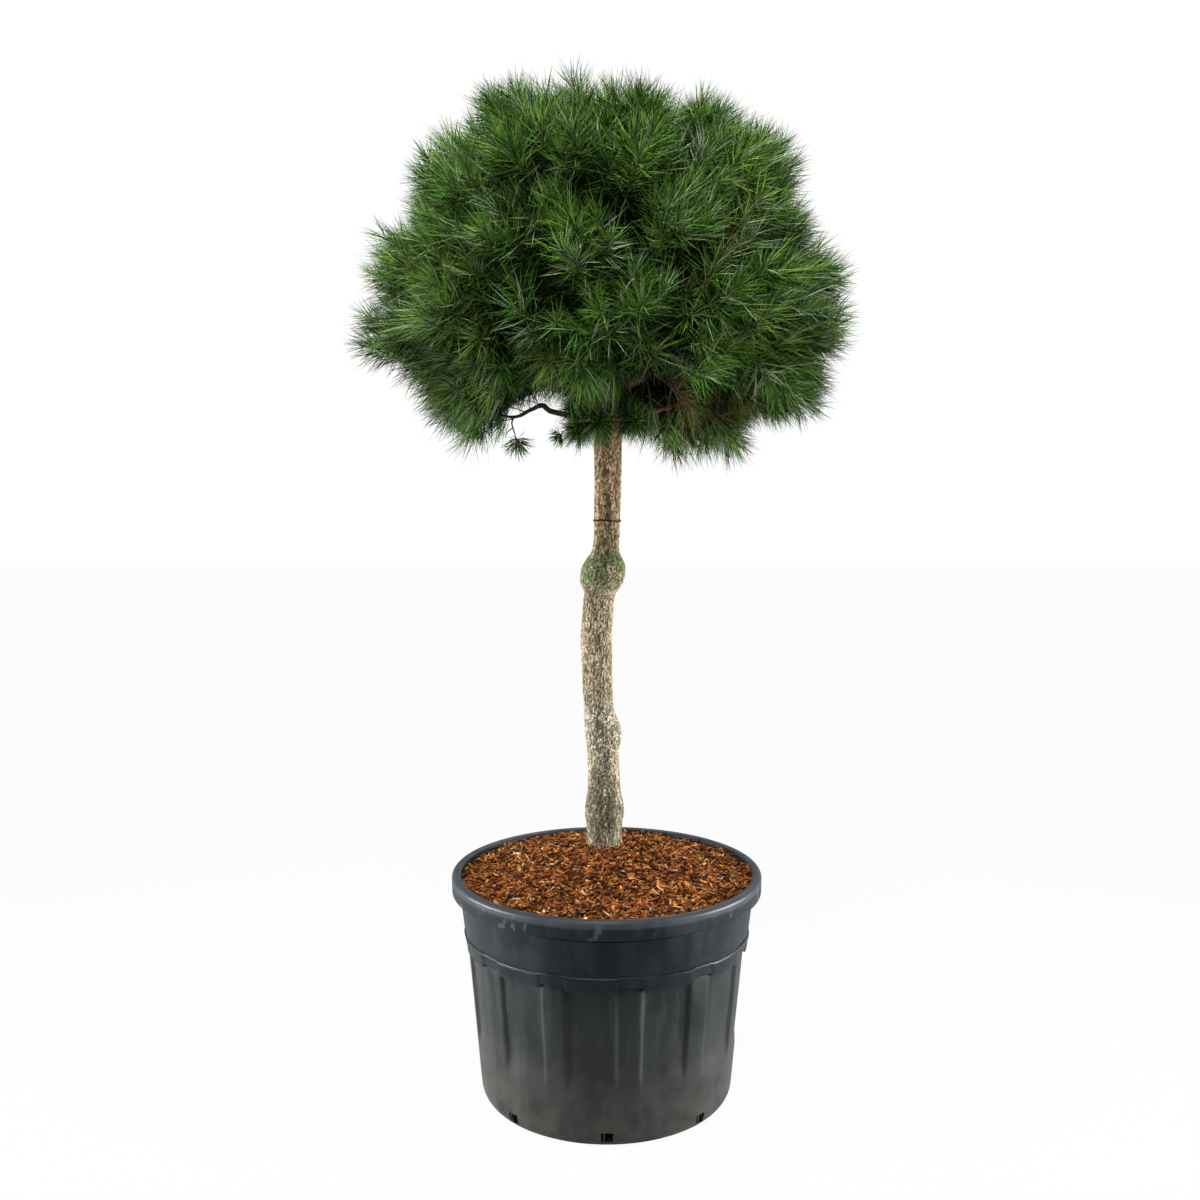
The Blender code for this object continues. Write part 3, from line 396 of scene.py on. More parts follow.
# %% Bark of the boughs, twigs and shoots
def make_mottled(name, roughness, scale, darker, lighter, grain_scale, strength, distance):
    """A finish mottled between two colours."""
    made, tree, shader, position = new_material(name, roughness)
    colour = mix(tree, patchy(tree, position, scale), darker, lighter)
    dress(tree, shader, position, colour, grain_scale, strength, distance)
    return made


def make_bough_bark():
    """The boughs on the right are painted lighter and warmer: painted light on the right, painted shade on
    the left.
    """
    made, tree, shader, position = new_material("bough_bark", 0.85)
    relief = add_node(tree, "ShaderNodeAttribute", attribute_name="relief").outputs["Fac"]
    flecks = patchy(tree, position, 110.0, 0.5, 0.18)
    across = add_node(tree, "ShaderNodeSeparateXYZ", {"Vector": position}).outputs["X"]
    # lighter, warmer colours on the right are painted light, and darker ones on the left painted shade
    colour = mix(tree, remap(tree, across, -0.02, 0.04, kind="LINEAR"),
                 mix(tree, flecks, (0.045, 0.030, 0.020), (0.120, 0.080, 0.050)),
                 mix(tree, flecks, (0.300, 0.170, 0.085), (0.620, 0.420, 0.260)))
    # darker where the relief is low: the darker bark of the cracks, and painted shade in them
    colour = mix(tree, remap(tree, relief, 0.0, 1.0, 0.85, 0.0, "LINEAR"), colour, (0.030, 0.018, 0.010))
    dress(tree, shader, position, colour, 380.0, 0.4, 0.001)
    return made


young_bark = make_mottled("young_bark", 0.85, 120.0, (0.070, 0.045, 0.026), (0.190, 0.115, 0.062),
                          420.0, 0.4, 0.001)
shoot_bark = make_mottled("shoot_bark", 0.8, 90.0, (0.020, 0.020, 0.010), (0.075, 0.060, 0.030),
                          500.0, 0.3, 0.0008)
bough_bark = make_bough_bark()
print("made", young_bark.name, shoot_bark.name, bough_bark.name)

# %% [markdown]
# ## Finish of the mulch and the tie
#
# Bark mulch is shredded, so each bit has its own colour: rust, orange, brown and now and then a
# bit of pale wood, with nearly black bits that also stand in as painted shade for the gaps. One
# function makes all of these finishes from two close colours, streaked along the fibres and darker
# in cloudy patches that are painted shade between clumps. A darker one makes the fine stuff
# underneath.

# %% Mulch colours
MULCH_TINTS = {
    # name: (darker colour, lighter colour)
    "rust": ((0.118, 0.028, 0.006), (0.265, 0.080, 0.018)),
    "amber": ((0.215, 0.074, 0.013), (0.405, 0.165, 0.038)),
    "cocoa": ((0.037, 0.012, 0.004), (0.098, 0.032, 0.009)),
    # nearly black bits: partly their own dark colour, partly painted shade for the gaps between bits
    "plum": ((0.010, 0.004, 0.003), (0.031, 0.011, 0.005)),
    "tan": ((0.350, 0.165, 0.058), (0.540, 0.310, 0.125)),
    "straw": ((0.360, 0.270, 0.120), (0.580, 0.470, 0.280)),
    "dust": ((0.014, 0.005, 0.003), (0.050, 0.018, 0.007)),
}


def make_streaky(name, darker, lighter):
    made, tree, shader, position = new_material("mulch_" + name, 0.9, 0.12)
    colour = mix(tree, patchy(tree, position, 160.0, 0.5, 0.16), darker, lighter)
    # painted shade: darker cloudy patches in place of the shadows between clumps of mulch
    clump_shade = patchy(tree, position, 24.0, 0.44, 0.07)
    colour = mix(tree, times(tree, clump_shade, 0.5), colour, [0.35 * value for value in darker])
    dress(tree, shader, position, colour, 700.0, 0.5, 0.001)
    return made


mulch_finishes = {name: make_streaky(name, *pair) for name, pair in MULCH_TINTS.items()}
print("mulch finishes:", len(mulch_finishes))

# %% Tie wire
tie_wire, tree, shader, position = new_material("tie_wire", 0.75, 0.2)
tree.links.new(mix(tree, patchy(tree, position, 180.0), (0.006, 0.004, 0.003), (0.022, 0.014, 0.010)),
               shader.inputs["Base Color"])
print("made", tie_wire.name)

# %% [markdown]
# ## Finish of the needles
#
# A needle is about a millimetre wide, so a pattern on it would never be seen. What is seen is
# that one shoot is lighter than the next: this year's shoots are yellow-green, older ones are
# deep green, and some inside turn olive and brown. Two tints are painted light and shade: the
# near-black shade tint is painted shade for the depth of the crown, and the pale grey tint is a
# painted sheen, pale strands in place of glints of light. So each tint is one plain colour, and
# whole shoots are dealt a tint.

# %% Needle tints
NEEDLE_TINTS = {
    # name: (colour, roughness, how strongly it shines)
    "fresh": ((0.205, 0.360, 0.048), 0.40, 0.24),
    "bright": ((0.106, 0.240, 0.030), 0.40, 0.24),
    "leaf": ((0.050, 0.146, 0.020), 0.42, 0.18),
    "deep": ((0.018, 0.056, 0.009), 0.48, 0.10),
    # shade is painted shade: a near-black green for the crown's depth, the inner shoots and the feet of
    # shoots
    "shade": ((0.0028, 0.0090, 0.0014), 0.80, 0.01),
    # grey is a painted sheen: pale grey strands in place of glints of light on the needles
    "grey": ((0.300, 0.350, 0.225), 0.40, 0.40),
    "olive": ((0.140, 0.130, 0.042), 0.60, 0.11),
    "brown": ((0.110, 0.066, 0.028), 0.75, 0.06),
}
needle_tints = {}
for name, (colour, roughness, shine) in NEEDLE_TINTS.items():
    needle_tints[name], _, shader, _ = new_material("needles_" + name, roughness, shine)
    shader.inputs["Base Color"].default_value = (*colour, 1.0)
print("needle tints:", ", ".join(needle_tints))

# %% [markdown]
# ## Turning numbers into meshes
#
# Small meshes can be built face by face, but a crown of needles has hundreds of thousands of
# faces. `foreach_set` copies whole NumPy arrays into a mesh at once, which is far quicker.

# %% Mesh helpers
def mesh_object(name, points, triangles, materials, material_of_triangle):
    """An object from arrays of points and triangles."""
    points, triangles = np.asarray(points, np.float32), np.asarray(triangles, np.int32)
    mesh = bpy.data.meshes.new(name)
    mesh.vertices.add(len(points))
    mesh.vertices.foreach_set("co", points.ravel())
    mesh.loops.add(triangles.size)
    mesh.loops.foreach_set("vertex_index", triangles.ravel())
    mesh.polygons.add(len(triangles))
    mesh.polygons.foreach_set("loop_start", np.arange(0, triangles.size, 3, dtype=np.int32))
    for material in materials:
        mesh.materials.append(material)
    mesh.polygons.foreach_set("material_index", np.asarray(material_of_triangle, np.int32))
    mesh.update(calc_edges=True)
    return add_object(name, mesh)


def object_from_faces(name, points, faces, material):
    """An object from a short list of points and faces of any size."""
    mesh = bpy.data.meshes.new(name)
    mesh.from_pydata([tuple(point) for point in points], [], faces)
    mesh.materials.append(material)
    return add_object(name, mesh)


def ring_faces(rings, sides, first=0, closed=False, flipped=False):
    """Quads between rings of points that follow each other in a list."""
    faces = []
    for ring in range(rings if closed else rings - 1):
        a, b = first + ring * sides, first + (ring + 1) % rings * sides
        for side in range(sides):
            nxt = (side + 1) % sides
            quad = (a + side, a + nxt, b + nxt, b + side)
            faces.append(quad[:1] + quad[:0:-1] if flipped else quad)
    return faces


def around(turn, radius, height, x=0.0, y=0.0):
    """A point at a radius round a middle. Turn 0 is the front, -Y, and runs towards +X."""
    return x + radius * math.sin(turn), y - radius * math.cos(turn), height


def end_faces(rings, sides):
    """The two flat ends of a tube made of rings."""
    return [tuple(range(sides))[::-1], tuple(range((rings - 1) * sides, rings * sides))]


# %% Helpers that finish a mesh
def outward(obj):
    """Turn a closed mesh's faces outward."""
    work = bmesh.new()
    work.from_mesh(obj.data)
    bmesh.ops.recalc_face_normals(work, faces=work.faces)
    work.to_mesh(obj.data)
    work.free()


def shade(obj, sharp_degrees):
    obj.data.shade_smooth()
    obj.data.set_sharp_from_angle(angle=math.radians(sharp_degrees))


def keep_result(obj, modifier, **options):
    """Make what a modifier shows the object's plain mesh, and take the modifier away."""
    graph = bpy.context.evaluated_depsgraph_get()
    made = bpy.data.meshes.new_from_object(obj.evaluated_get(graph), depsgraph=graph, **options)
    obj.modifiers.remove(modifier)
    before, obj.data = obj.data, made
    bpy.data.meshes.remove(before)
    made.name = obj.name


def run_tree(obj, tree, values):
    """Run a Geometry Nodes tree on an object, and keep the result as its plain mesh."""
    modifier = obj.modifiers.new(tree.name, "NODES")
    modifier.node_group = tree
    for item in tree.interface.items_tree:
        if item.item_type == "SOCKET" and item.in_out == "INPUT" and item.name in values:
            modifier[item.identifier] = values[item.name]
    keep_result(obj, modifier, preserve_all_data_layers=True)
    return obj


def place_piece(obj, slot, *nodes):
    """Let a finished piece ride with the model in place of its plain nodes."""
    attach(obj, "root")
    if nodes:
        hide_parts(*nodes)
    print(f"{obj.name}: {len(obj.data.polygons)} faces")


# %% Helpers for Geometry Nodes
def new_geometry_tree(name, inputs):
    """A tree that takes a mesh, other named inputs and a material, and puts out a mesh."""
    return new_group(name, "GeometryNodeTree", [("Geometry", GEOMETRY), *inputs, ("Material", MATERIAL)],
                     [("Geometry", GEOMETRY)])


def push_out(tree, geometry, amount):
    """Move each point along its normal."""
    normal = add_node(tree, "GeometryNodeInputNormal").outputs[0]
    return add_node(tree, "GeometryNodeSetPosition",
                    {"Geometry": geometry, "Offset": vector_maths(tree, "SCALE", normal, amount)}).outputs[0]


def end_tree(tree, given, result, geometry):
    """Realize what the tree made, give it its material and put it out."""
    real = add_node(tree, "GeometryNodeRealizeInstances", {"Geometry": geometry}).outputs[0]
    coloured = add_node(tree, "GeometryNodeSetMaterial", {"Geometry": real, "Material": given["Material"]})
    tree.links.new(coloured.outputs[0], result["Geometry"])
    return tree

# %% [markdown]
# ## The container
#
# It is one turned shell: a profile of radius and height goes up the outside, rolls over the rim
# and comes down the inside. Twelve ribs stand out of the lower wall, and the collar above hangs
# a little lower between them. A turned shape could come from a Screw modifier, but the ribs
# change the radius with the angle, so the rings are worked out point by point.

# %% Container sizes
pot_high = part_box("pot")[1]
RIM_TOP = pot_high.z
RIM_RADIUS = pot_high.x + 0.0012
RIM_LOW = RIM_TOP - 0.036
COLLAR_TOP_RADIUS = RIM_RADIUS - 0.0160
COLLAR_LOW_RADIUS = RIM_RADIUS - 0.0228
GROOVE_RADIUS = COLLAR_TOP_RADIUS - 0.0060
COLLAR_LOW = 0.3025
FOLD_RADIUS = COLLAR_LOW_RADIUS - 0.0052
NECK = COLLAR_LOW - 0.004
MOUTH_RADIUS = RIM_RADIUS - 0.0186
LIP_DROP = 0.008
WALL_FOOT_RADIUS = 0.2354
WALL_SLOPE = 0.0865
RIB_COUNT = 12
RIB_AZIMUTH = 8.8
RIB_HALF_FOOT = 5.9
RIB_HALF_TOP = 4.3
RIB_HEIGHT = 0.0055
RIB_FADE = (0.100, 0.150)
BASE_RADIUS = 0.212
BASE_CORNER = 0.030
WALL = 0.0036
RECESS = RIB_HEIGHT + WALL
UNEVENNESS = 0.0006
DRAIN_COUNT = 8
DRAIN_RADIUS = 0.228
DRAIN_MIDDLE = 0.022
DRAIN_HEIGHT = 0.019
DRAIN_SLOTS = ((-0.0085, 0.0040), (0.0030, 0.0150))  # sideways middle and width of each slot
print(f"container: {2000 * RIM_RADIUS:.0f} mm across the rim, {1000 * RIM_TOP:.0f} mm tall")


# %% Lines and arcs of the profile
def wall_radius(height):
    return WALL_FOOT_RADIUS + WALL_SLOPE * height


def smooth_step(low, high, value):
    t = min(max((value - low) / (high - low), 0.0), 1.0)
    return t * t * (3.0 - 2.0 * t)


def arc(middle, radii, start, end, steps):
    """Points on an ellipse's arc, from start to end in degrees, as (radius, height)."""
    angles = [math.radians(start + (end - start) * k / steps) for k in range(steps + 1)]
    return [(middle[0] + radii[0] * math.cos(a), middle[1] + radii[1] * math.sin(a)) for a in angles]


def straight(start, end, steps):
    return [(start[0] + (end[0] - start[0]) * k / steps, start[1] + (end[1] - start[1]) * k / steps)
            for k in range(steps)]


# %% Container profile
def rows_of(points, rib=0.0, lip=0.0):
    """Rows of radius, height, rib share and lip share."""
    return [(radius, height, rib, lip) for radius, height in points]


def outer_profile():
    """Rows from the flat underside up to the rim's lower edge."""
    rows = rows_of(arc((BASE_RADIUS, BASE_CORNER), (wall_radius(BASE_CORNER) - BASE_RADIUS, BASE_CORNER),
                       -90, 0, 8))
    for radius, height in straight((wall_radius(0.045), 0.045), (wall_radius(NECK), NECK), 22):
        rows.append((radius, height, smooth_step(*RIB_FADE, height), 0.0))
    rows.append((wall_radius(NECK), NECK, 1.0, 1.0))
    rows.append((wall_radius(NECK) - 0.0010, COLLAR_LOW + 0.0010, 0.9, 1.0))
    rows.append((FOLD_RADIUS, COLLAR_LOW + 0.0006, 0.0, 1.0))
    rows += rows_of(arc((FOLD_RADIUS, COLLAR_LOW + 0.0022), (0.0018, 0.0022), -90, -10, 4), lip=1.0)
    bead = arc((COLLAR_LOW_RADIUS - 0.0022, COLLAR_LOW + 0.0190), (0.0024, 0.0034), -70, 90, 6)
    rows += [(radius, height, 0.0, 0.55 - 0.05 * k) for k, (radius, height) in enumerate(bead)]
    collar_top = (COLLAR_TOP_RADIUS, RIM_LOW - 0.0060)
    rows += rows_of(straight((COLLAR_LOW_RADIUS - 0.0008, COLLAR_LOW + 0.026), collar_top, 8))
    return rows + rows_of([collar_top, (GROOVE_RADIUS, RIM_LOW - 0.0035), (GROOVE_RADIUS, RIM_LOW + 0.0010)])


def rim_profile():
    """Rows of the rolled rim and the inside, down to the floor."""
    low = arc((RIM_RADIUS - 0.0045, RIM_LOW + 0.0035), (0.0035, 0.0035), -100, -10, 4)
    high = arc((RIM_RADIUS - 0.0085, RIM_TOP - 0.0080), (0.0080, 0.0080), 0, 100, 8)
    lip = arc((MOUTH_RADIUS + 0.0050, RIM_TOP - 0.0062), (0.0050, 0.0050), 95, 180, 5)
    inside = [(MOUTH_RADIUS - 0.0004, RIM_LOW + 0.012), (GROOVE_RADIUS - WALL, RIM_LOW + 0.002),
              (FOLD_RADIUS - WALL, COLLAR_LOW + 0.010),
              (wall_radius(COLLAR_LOW) - RECESS, COLLAR_LOW - 0.010)]
    corner = arc((BASE_RADIUS - RECESS, BASE_CORNER),
                 (wall_radius(BASE_CORNER) - BASE_RADIUS, BASE_CORNER - 0.0045), 0, -90, 5)
    return rows_of(low + high + lip + inside + corner)


def rib_azimuths():
    """Azimuths round the container, close together on the flanks of the ribs, and the rib share."""
    step = 360.0 / RIB_COUNT
    flank = np.linspace(RIB_HALF_TOP - 0.5, RIB_HALF_FOOT + 0.5, 7)
    crest = np.linspace(-RIB_HALF_TOP + 0.5, RIB_HALF_TOP - 0.5, 6)[1:-1]
    panel = np.linspace(RIB_HALF_FOOT + 0.5, step - RIB_HALF_FOOT - 0.5, 10)[1:-1]
    local = np.concatenate([-flank[::-1], crest, flank, panel])
    turns = []
    for rib in range(RIB_COUNT):
        for here in local:
            share = 1.0 - smooth_step(RIB_HALF_TOP - 0.35, RIB_HALF_FOOT + 0.35, abs(here))
            turns.append((RIB_AZIMUTH + rib * step + here, share))
    return turns


# %% Build the container
def build_container():
    rows = outer_profile() + rim_profile()
    turns = rib_azimuths()
    points = []
    for radius, height, rib, lip in rows:
        for azimuth, share in turns:
            turn = math.radians(azimuth)
            here = radius - RIB_HEIGHT * rib * (1.0 - share)
            uneven = UNEVENNESS * noise.noise(Vector((math.sin(turn), math.cos(turn), height * 5.0)) * 1.7)
            here += uneven if RIM_LOW > height > BASE_CORNER else 0.0
            level = height - LIP_DROP * lip * (1.0 - share)
            points.append(around(turn, here, level))
    faces = ring_faces(len(rows), len(turns)) + end_faces(len(rows), len(turns))
    return object_from_faces("container", points, faces, container_plastic)


def slot_cutter(azimuth, sideways, width):
    """A block that cuts one slot of a drain hole through the container's foot."""
    work = bmesh.new()
    bmesh.ops.create_cube(work, size=1.0)
    size = Matrix.Diagonal((width, 0.040, DRAIN_HEIGHT, 1.0))
    place = Matrix.Translation((sideways, -DRAIN_RADIUS, DRAIN_MIDDLE))
    work.transform(Matrix.Rotation(math.radians(azimuth), 4, "Z") @ place @ size)
    mesh = bpy.data.meshes.new("slot_cutter")
    work.to_mesh(mesh)
    work.free()
    return add_object("slot_cutter", mesh)


def cut(obj, cutters):
    """Cut several closed blocks out of a closed mesh."""
    group = bpy.data.collections.new("cutters")
    bpy.context.scene.collection.children.link(group)
    for cutter in cutters:
        bpy.context.scene.collection.objects.unlink(cutter)
        group.objects.link(cutter)
    modifier = obj.modifiers.new("Drain holes", "BOOLEAN")
    modifier.operation = "DIFFERENCE"
    modifier.solver = "MANIFOLD"
    modifier.operand_type = "COLLECTION"
    modifier.collection = group
    keep_result(obj, modifier)
    for cutter in cutters:
        bpy.data.objects.remove(cutter)
    bpy.data.collections.remove(group)


container = build_container()
outward(container)
cut(container, [slot_cutter(k * 360.0 / DRAIN_COUNT, middle, width)
                for k in range(DRAIN_COUNT) for middle, width in DRAIN_SLOTS])
shade(container, 38.0)
place_piece(container, "container_plastic", "pot")

# %% [markdown]
# ## The mulch
#
# The bed is a low mound, highest round the stem. Its own surface is fine dark stuff, and the
# shredded bark lies on it. Thousands of bits of a few shapes are what Geometry Nodes are for: a
# tree scatters points over the mound, puts a bit on each with its own turn, tilt and size, and
# realizes them. It runs once for each colour, so each colour is one joined piece.

# %% Mound
BED_RADIUS = MOUTH_RADIUS - 0.0010
BED_LOW, BED_LOW_RADIUS = RIM_LOW - 0.02, 0.96 * BED_RADIUS
MULCH_EDGE = 0.4185
MULCH_TOP = 0.459
FOOT = Vector((-0.0045, 0.060, 0.4603))
MULCH_BUMPS = ((21.0, 0.0, 0.0060), (75.0, 3.0, 0.0034))  # bumps to the metre, place in the noise, height


def mound_level(x, y):
    """Height of the mulch at a place in plan."""
    out = math.hypot(x, y) / MOUTH_RADIUS
    near = math.hypot(x - FOOT.x, y - FOOT.y) / MOUTH_RADIUS
    rise = 1.0 - smooth_step(0.10, 1.0, 0.55 * out + 0.45 * min(near, 1.0))
    bumps = sum(high * noise.noise(Vector((x * fine, y * fine, place))) for fine, place, high in MULCH_BUMPS)
    return MULCH_EDGE + (MULCH_TOP - MULCH_EDGE) * rise + bumps * smooth_step(0.0, 0.25, near)


def build_mound():
    rings, sides = 46, 150
    turns = [2.0 * math.pi * side / sides for side in range(sides)]
    points = [(0.0, 0.0, mound_level(0.0, 0.0))]
    for ring in range(1, rings + 1):
        for turn in turns:
            x, y, _ = around(turn, BED_RADIUS * ring / rings, 0.0)
            points.append((x, y, mound_level(x, y)))
    # A wall down into the container and a flat bottom close the bed.
    low = len(points)
    points += [around(turn, BED_LOW_RADIUS, BED_LOW) for turn in turns]
    faces = [(0, 1 + side, 1 + (side + 1) % sides) for side in range(sides)]
    faces += ring_faces(rings + 1, sides, first=1, flipped=True)
    faces.append(tuple(range(low, low + sides)))
    return object_from_faces("mulch_bed", points, faces, mulch_finishes["dust"])


mulch_bed = build_mound()
outward(mulch_bed)
shade(mulch_bed, 60.0)
print("mulch bed faces:", len(mulch_bed.data.polygons))


# %% Shapes of the bits
BIT_SIZES = ((0.015, 0.0052, 0.0024), (0.011, 0.0042, 0.0026), (0.018, 0.0032, 0.0020),
             (0.009, 0.0056, 0.0022), (0.022, 0.0016, 0.0015), (0.016, 0.0012, 0.0012))
BIT_SPREAD = ((0.85, 1.1), (0.7, 1.15), (0.6, 1.2))  # of the length, the width and the thickness
BIT_BEND, BIT_WARP = 0.25, 0.2
BIT_TAPER, TAPER_SPREAD = 0.55, (0.4, 1.3)


def build_bit(name, length, width, thick, rng):
    """One shredded bit: a bent, ragged flake, with its long side along X."""
    work = bmesh.new()
    bmesh.ops.create_cube(work, size=1.0)
    long_edges = [edge for edge in work.edges if abs(edge.verts[0].co.x - edge.verts[1].co.x) > 0.5]
    bmesh.ops.subdivide_edges(work, edges=long_edges, cuts=2)
    bend = rng.uniform(-BIT_BEND, BIT_BEND)
    for vertex in work.verts:
        along = vertex.co.x * 2.0
        ragged = 1.0 - BIT_TAPER * abs(along) ** 2.0 * rng.uniform(*TAPER_SPREAD)
        vertex.co.x *= length * rng.uniform(*BIT_SPREAD[0])
        vertex.co.y *= width * ragged * rng.uniform(*BIT_SPREAD[1])
        vertex.co.y += bend * width * along * along
        level = vertex.co.z * thick * rng.uniform(*BIT_SPREAD[2])
        vertex.co.z = level + rng.uniform(-BIT_WARP, BIT_WARP) * thick
    mesh = bpy.data.meshes.new(name)
    work.to_mesh(mesh)
    work.free()
    return bpy.data.objects.new(name, mesh)


bit_rng = random.Random(5)
mulch_bits = bpy.data.collections.new("mulch_bits")
for k, size in enumerate(BIT_SIZES):
    mulch_bits.objects.link(build_bit(f"bit_{k}", *size, bit_rng))


# %% Scattering tree
def make_scatter_tree():
    tree, given, result = new_geometry_tree(
        "scatter_bits",
        [("Bits", "NodeSocketCollection"), ("Density", FLOAT, 1000.0), ("Seed", INT, 0),
         ("Smallest", FLOAT, 0.6), ("Largest", FLOAT, 1.2), ("Tilt", FLOAT, 0.5), ("Lift", FLOAT, 0.002)])

    def random_number(low, high):
        return add_node(tree, "FunctionNodeRandomValue", {2: low, 3: high, "Seed": given["Seed"]},
                        data_type="FLOAT").outputs[1]

    normal = add_node(tree, "GeometryNodeInputNormal").outputs[0]
    upward = add_node(tree, "ShaderNodeSeparateXYZ", {0: normal}).outputs["Z"]
    faces_up = add_node(tree, "FunctionNodeCompare", {0: upward, 1: 0.4}, operation="GREATER_THAN")
    scatter = add_node(tree, "GeometryNodeDistributePointsOnFaces",
                       {"Mesh": given["Geometry"], "Selection": faces_up.outputs["Result"],
                        "Density": given["Density"], "Seed": given["Seed"]})
    bits = add_node(tree, "GeometryNodeCollectionInfo",
                    {"Collection": given["Bits"], "Separate Children": True, "Reset Children": True})
    back = times(tree, given["Tilt"], -1.0)
    low = add_node(tree, "ShaderNodeCombineXYZ", {0: back, 1: back, 2: 0.0})
    high = add_node(tree, "ShaderNodeCombineXYZ", {0: given["Tilt"], 1: given["Tilt"], 2: 2.0 * math.pi})
    turn = add_node(tree, "FunctionNodeRandomValue",
                    {"Min": low.outputs[0], "Max": high.outputs[0], "Seed": given["Seed"]},
                    data_type="FLOAT_VECTOR")
    put = add_node(tree, "GeometryNodeInstanceOnPoints",
                   {"Points": scatter.outputs["Points"], "Instance": bits.outputs[0], "Pick Instance": True,
                    "Rotation": turn.outputs[0], "Scale": random_number(given["Smallest"], given["Largest"])})
    lift = add_node(tree, "ShaderNodeCombineXYZ", {2: random_number(0.0, given["Lift"])})
    moved = add_node(tree, "GeometryNodeTranslateInstances",
                     {"Instances": put.outputs["Instances"], "Translation": lift.outputs[0],
                      "Local Space": False})
    return end_tree(tree, given, result, moved.outputs[0])


scatter_tree = make_scatter_tree()
print("scatter tree nodes:", len(scatter_tree.nodes))

# %% Scatter the mulch
# how many bits of each colour lie on a square metre
MULCH_DENSITY = {"rust": 19000, "amber": 13000, "cocoa": 12000, "plum": 8500, "tan": 3000, "straw": 500}

for seed, (tint, density) in enumerate(MULCH_DENSITY.items()):
    bits = add_object("mulch_" + tint, mulch_bed.data.copy())
    run_tree(bits, scatter_tree, {"Bits": mulch_bits, "Density": float(density), "Seed": 11 + seed,
                                  "Smallest": 0.40, "Largest": 1.05, "Tilt": 0.50, "Lift": 0.006,
                                  "Material": mulch_finishes[tint]})
    place_piece(bits, "bark_mulch", "root_ball")
place_piece(mulch_bed, "bark_mulch", "root_ball")
for bit in list(mulch_bits.objects):
    bpy.data.objects.remove(bit)
bpy.data.collections.remove(mulch_bits)

# %% [markdown]
# ## The stem
#
# The stem is a tube whose middle wanders a little and whose radius swells at the graft union and
# at old pruning scars. Its bark is real relief: a Geometry Nodes tree pushes the surface in along
# the borders of stretched Voronoi cells, which is how plates of bark are divided by cracks. The
# same tree serves the boughs with finer cells.

# %% Stem sizes
TRUNK_STATIONS = (
    # height, x of the middle, radius
    (0.46, -0.0045, 0.0345), (0.49, -0.0045, 0.0332), (0.60, -0.0045, 0.0295), (0.67, -0.0085, 0.0290),
    (0.74, -0.0158, 0.0280), (0.86, -0.0200, 0.0288), (0.93, -0.0152, 0.0286), (0.99, -0.0060, 0.0262),
    (1.05, 0.0000, 0.0235), (1.16, 0.0022, 0.0246), (1.27, 0.0020, 0.0262), (1.36, 0.0010, 0.0235),
    (1.48, -0.0060, 0.0165), (1.61, 0.0000, 0.0085),
)
TRUNK_TOP_Y = 0.050
TRUNK_SWELLINGS = (
    # height, how far it stands out, half its height, the side it favours, how strongly
    (0.987, 0.0150, 0.0310, -40.0, 0.05),
    (0.683, 0.0056, 0.0290, 75.0, 0.55),
    (0.533, 0.0045, 0.0250, 20.0, 0.30),
)
SWELLING_POWER = 3.2  # how squarely a swelling rises
UNROUNDNESS = 0.025


def trunk_centre(height):
    heights = [row[0] for row in TRUNK_STATIONS]
    x = float(np.interp(height, heights, [row[1] for row in TRUNK_STATIONS]))
    share = (height - heights[0]) / (heights[-1] - heights[0])
    return Vector((x, FOOT.y + (TRUNK_TOP_Y - FOOT.y) * share, height))


def trunk_radius(height, azimuth):
    radius = float(np.interp(height, [row[0] for row in TRUNK_STATIONS], [row[2] for row in TRUNK_STATIONS]))
    for level, out, half, towards, lopsided in TRUNK_SWELLINGS:
        side = 1.0 + lopsided * math.cos(math.radians(azimuth - towards))
        radius += out * side * math.exp(-abs((height - level) / half) ** SWELLING_POWER)
    spot = Vector((math.sin(math.radians(azimuth)), math.cos(math.radians(azimuth)), height * 9.0))
    return radius * (1.0 + UNROUNDNESS * noise.noise(spot))


# %% Bark relief tree
def make_relief_tree():
    tree, given, result = new_geometry_tree(
        "bark_relief",
        [("Plate Width", FLOAT, 0.010), ("Plate Length", FLOAT, 0.024), ("Depth", FLOAT, 0.0015)])
    cell = add_node(tree, "ShaderNodeCombineXYZ",
                    {0: given["Plate Width"], 1: given["Plate Width"], 2: given["Plate Length"]}).outputs[0]
    position = add_node(tree, "GeometryNodeInputPosition").outputs[0]
    scaled = vector_maths(tree, "DIVIDE", position, cell)
    wander = add_node(tree, "ShaderNodeTexNoise", {"Vector": scaled, "Scale": 0.9, "Detail": 3.0})
    offset = vector_maths(tree, "SCALE", wander.outputs["Color"], 2.6)
    cracks = add_node(tree, "ShaderNodeTexVoronoi",
                      {"Vector": vector_maths(tree, "ADD", scaled, offset), "Scale": 1.0},
                      feature="DISTANCE_TO_EDGE")
    plate = remap(tree, cracks.outputs["Distance"], 0.02, 0.24)
    small = add_node(tree, "ShaderNodeTexNoise", {"Vector": scaled, "Scale": 3.4, "Detail": 4.0})
    rough = remap(tree, small.outputs["Fac"], 0.3, 0.7, 0.55, kind="LINEAR")
    relief = times(tree, plate, rough)
    deep = times(tree, maths(tree, "SUBTRACT", relief, 0.35), given["Depth"])
    noted = add_node(tree, "GeometryNodeStoreNamedAttribute",
                     {"Geometry": given["Geometry"], "Name": "relief", "Value": relief},
                     data_type="FLOAT", domain="POINT")
    return end_tree(tree, given, result, push_out(tree, noted.outputs[0], deep))


relief_tree = make_relief_tree()
print("relief tree nodes:", len(relief_tree.nodes))


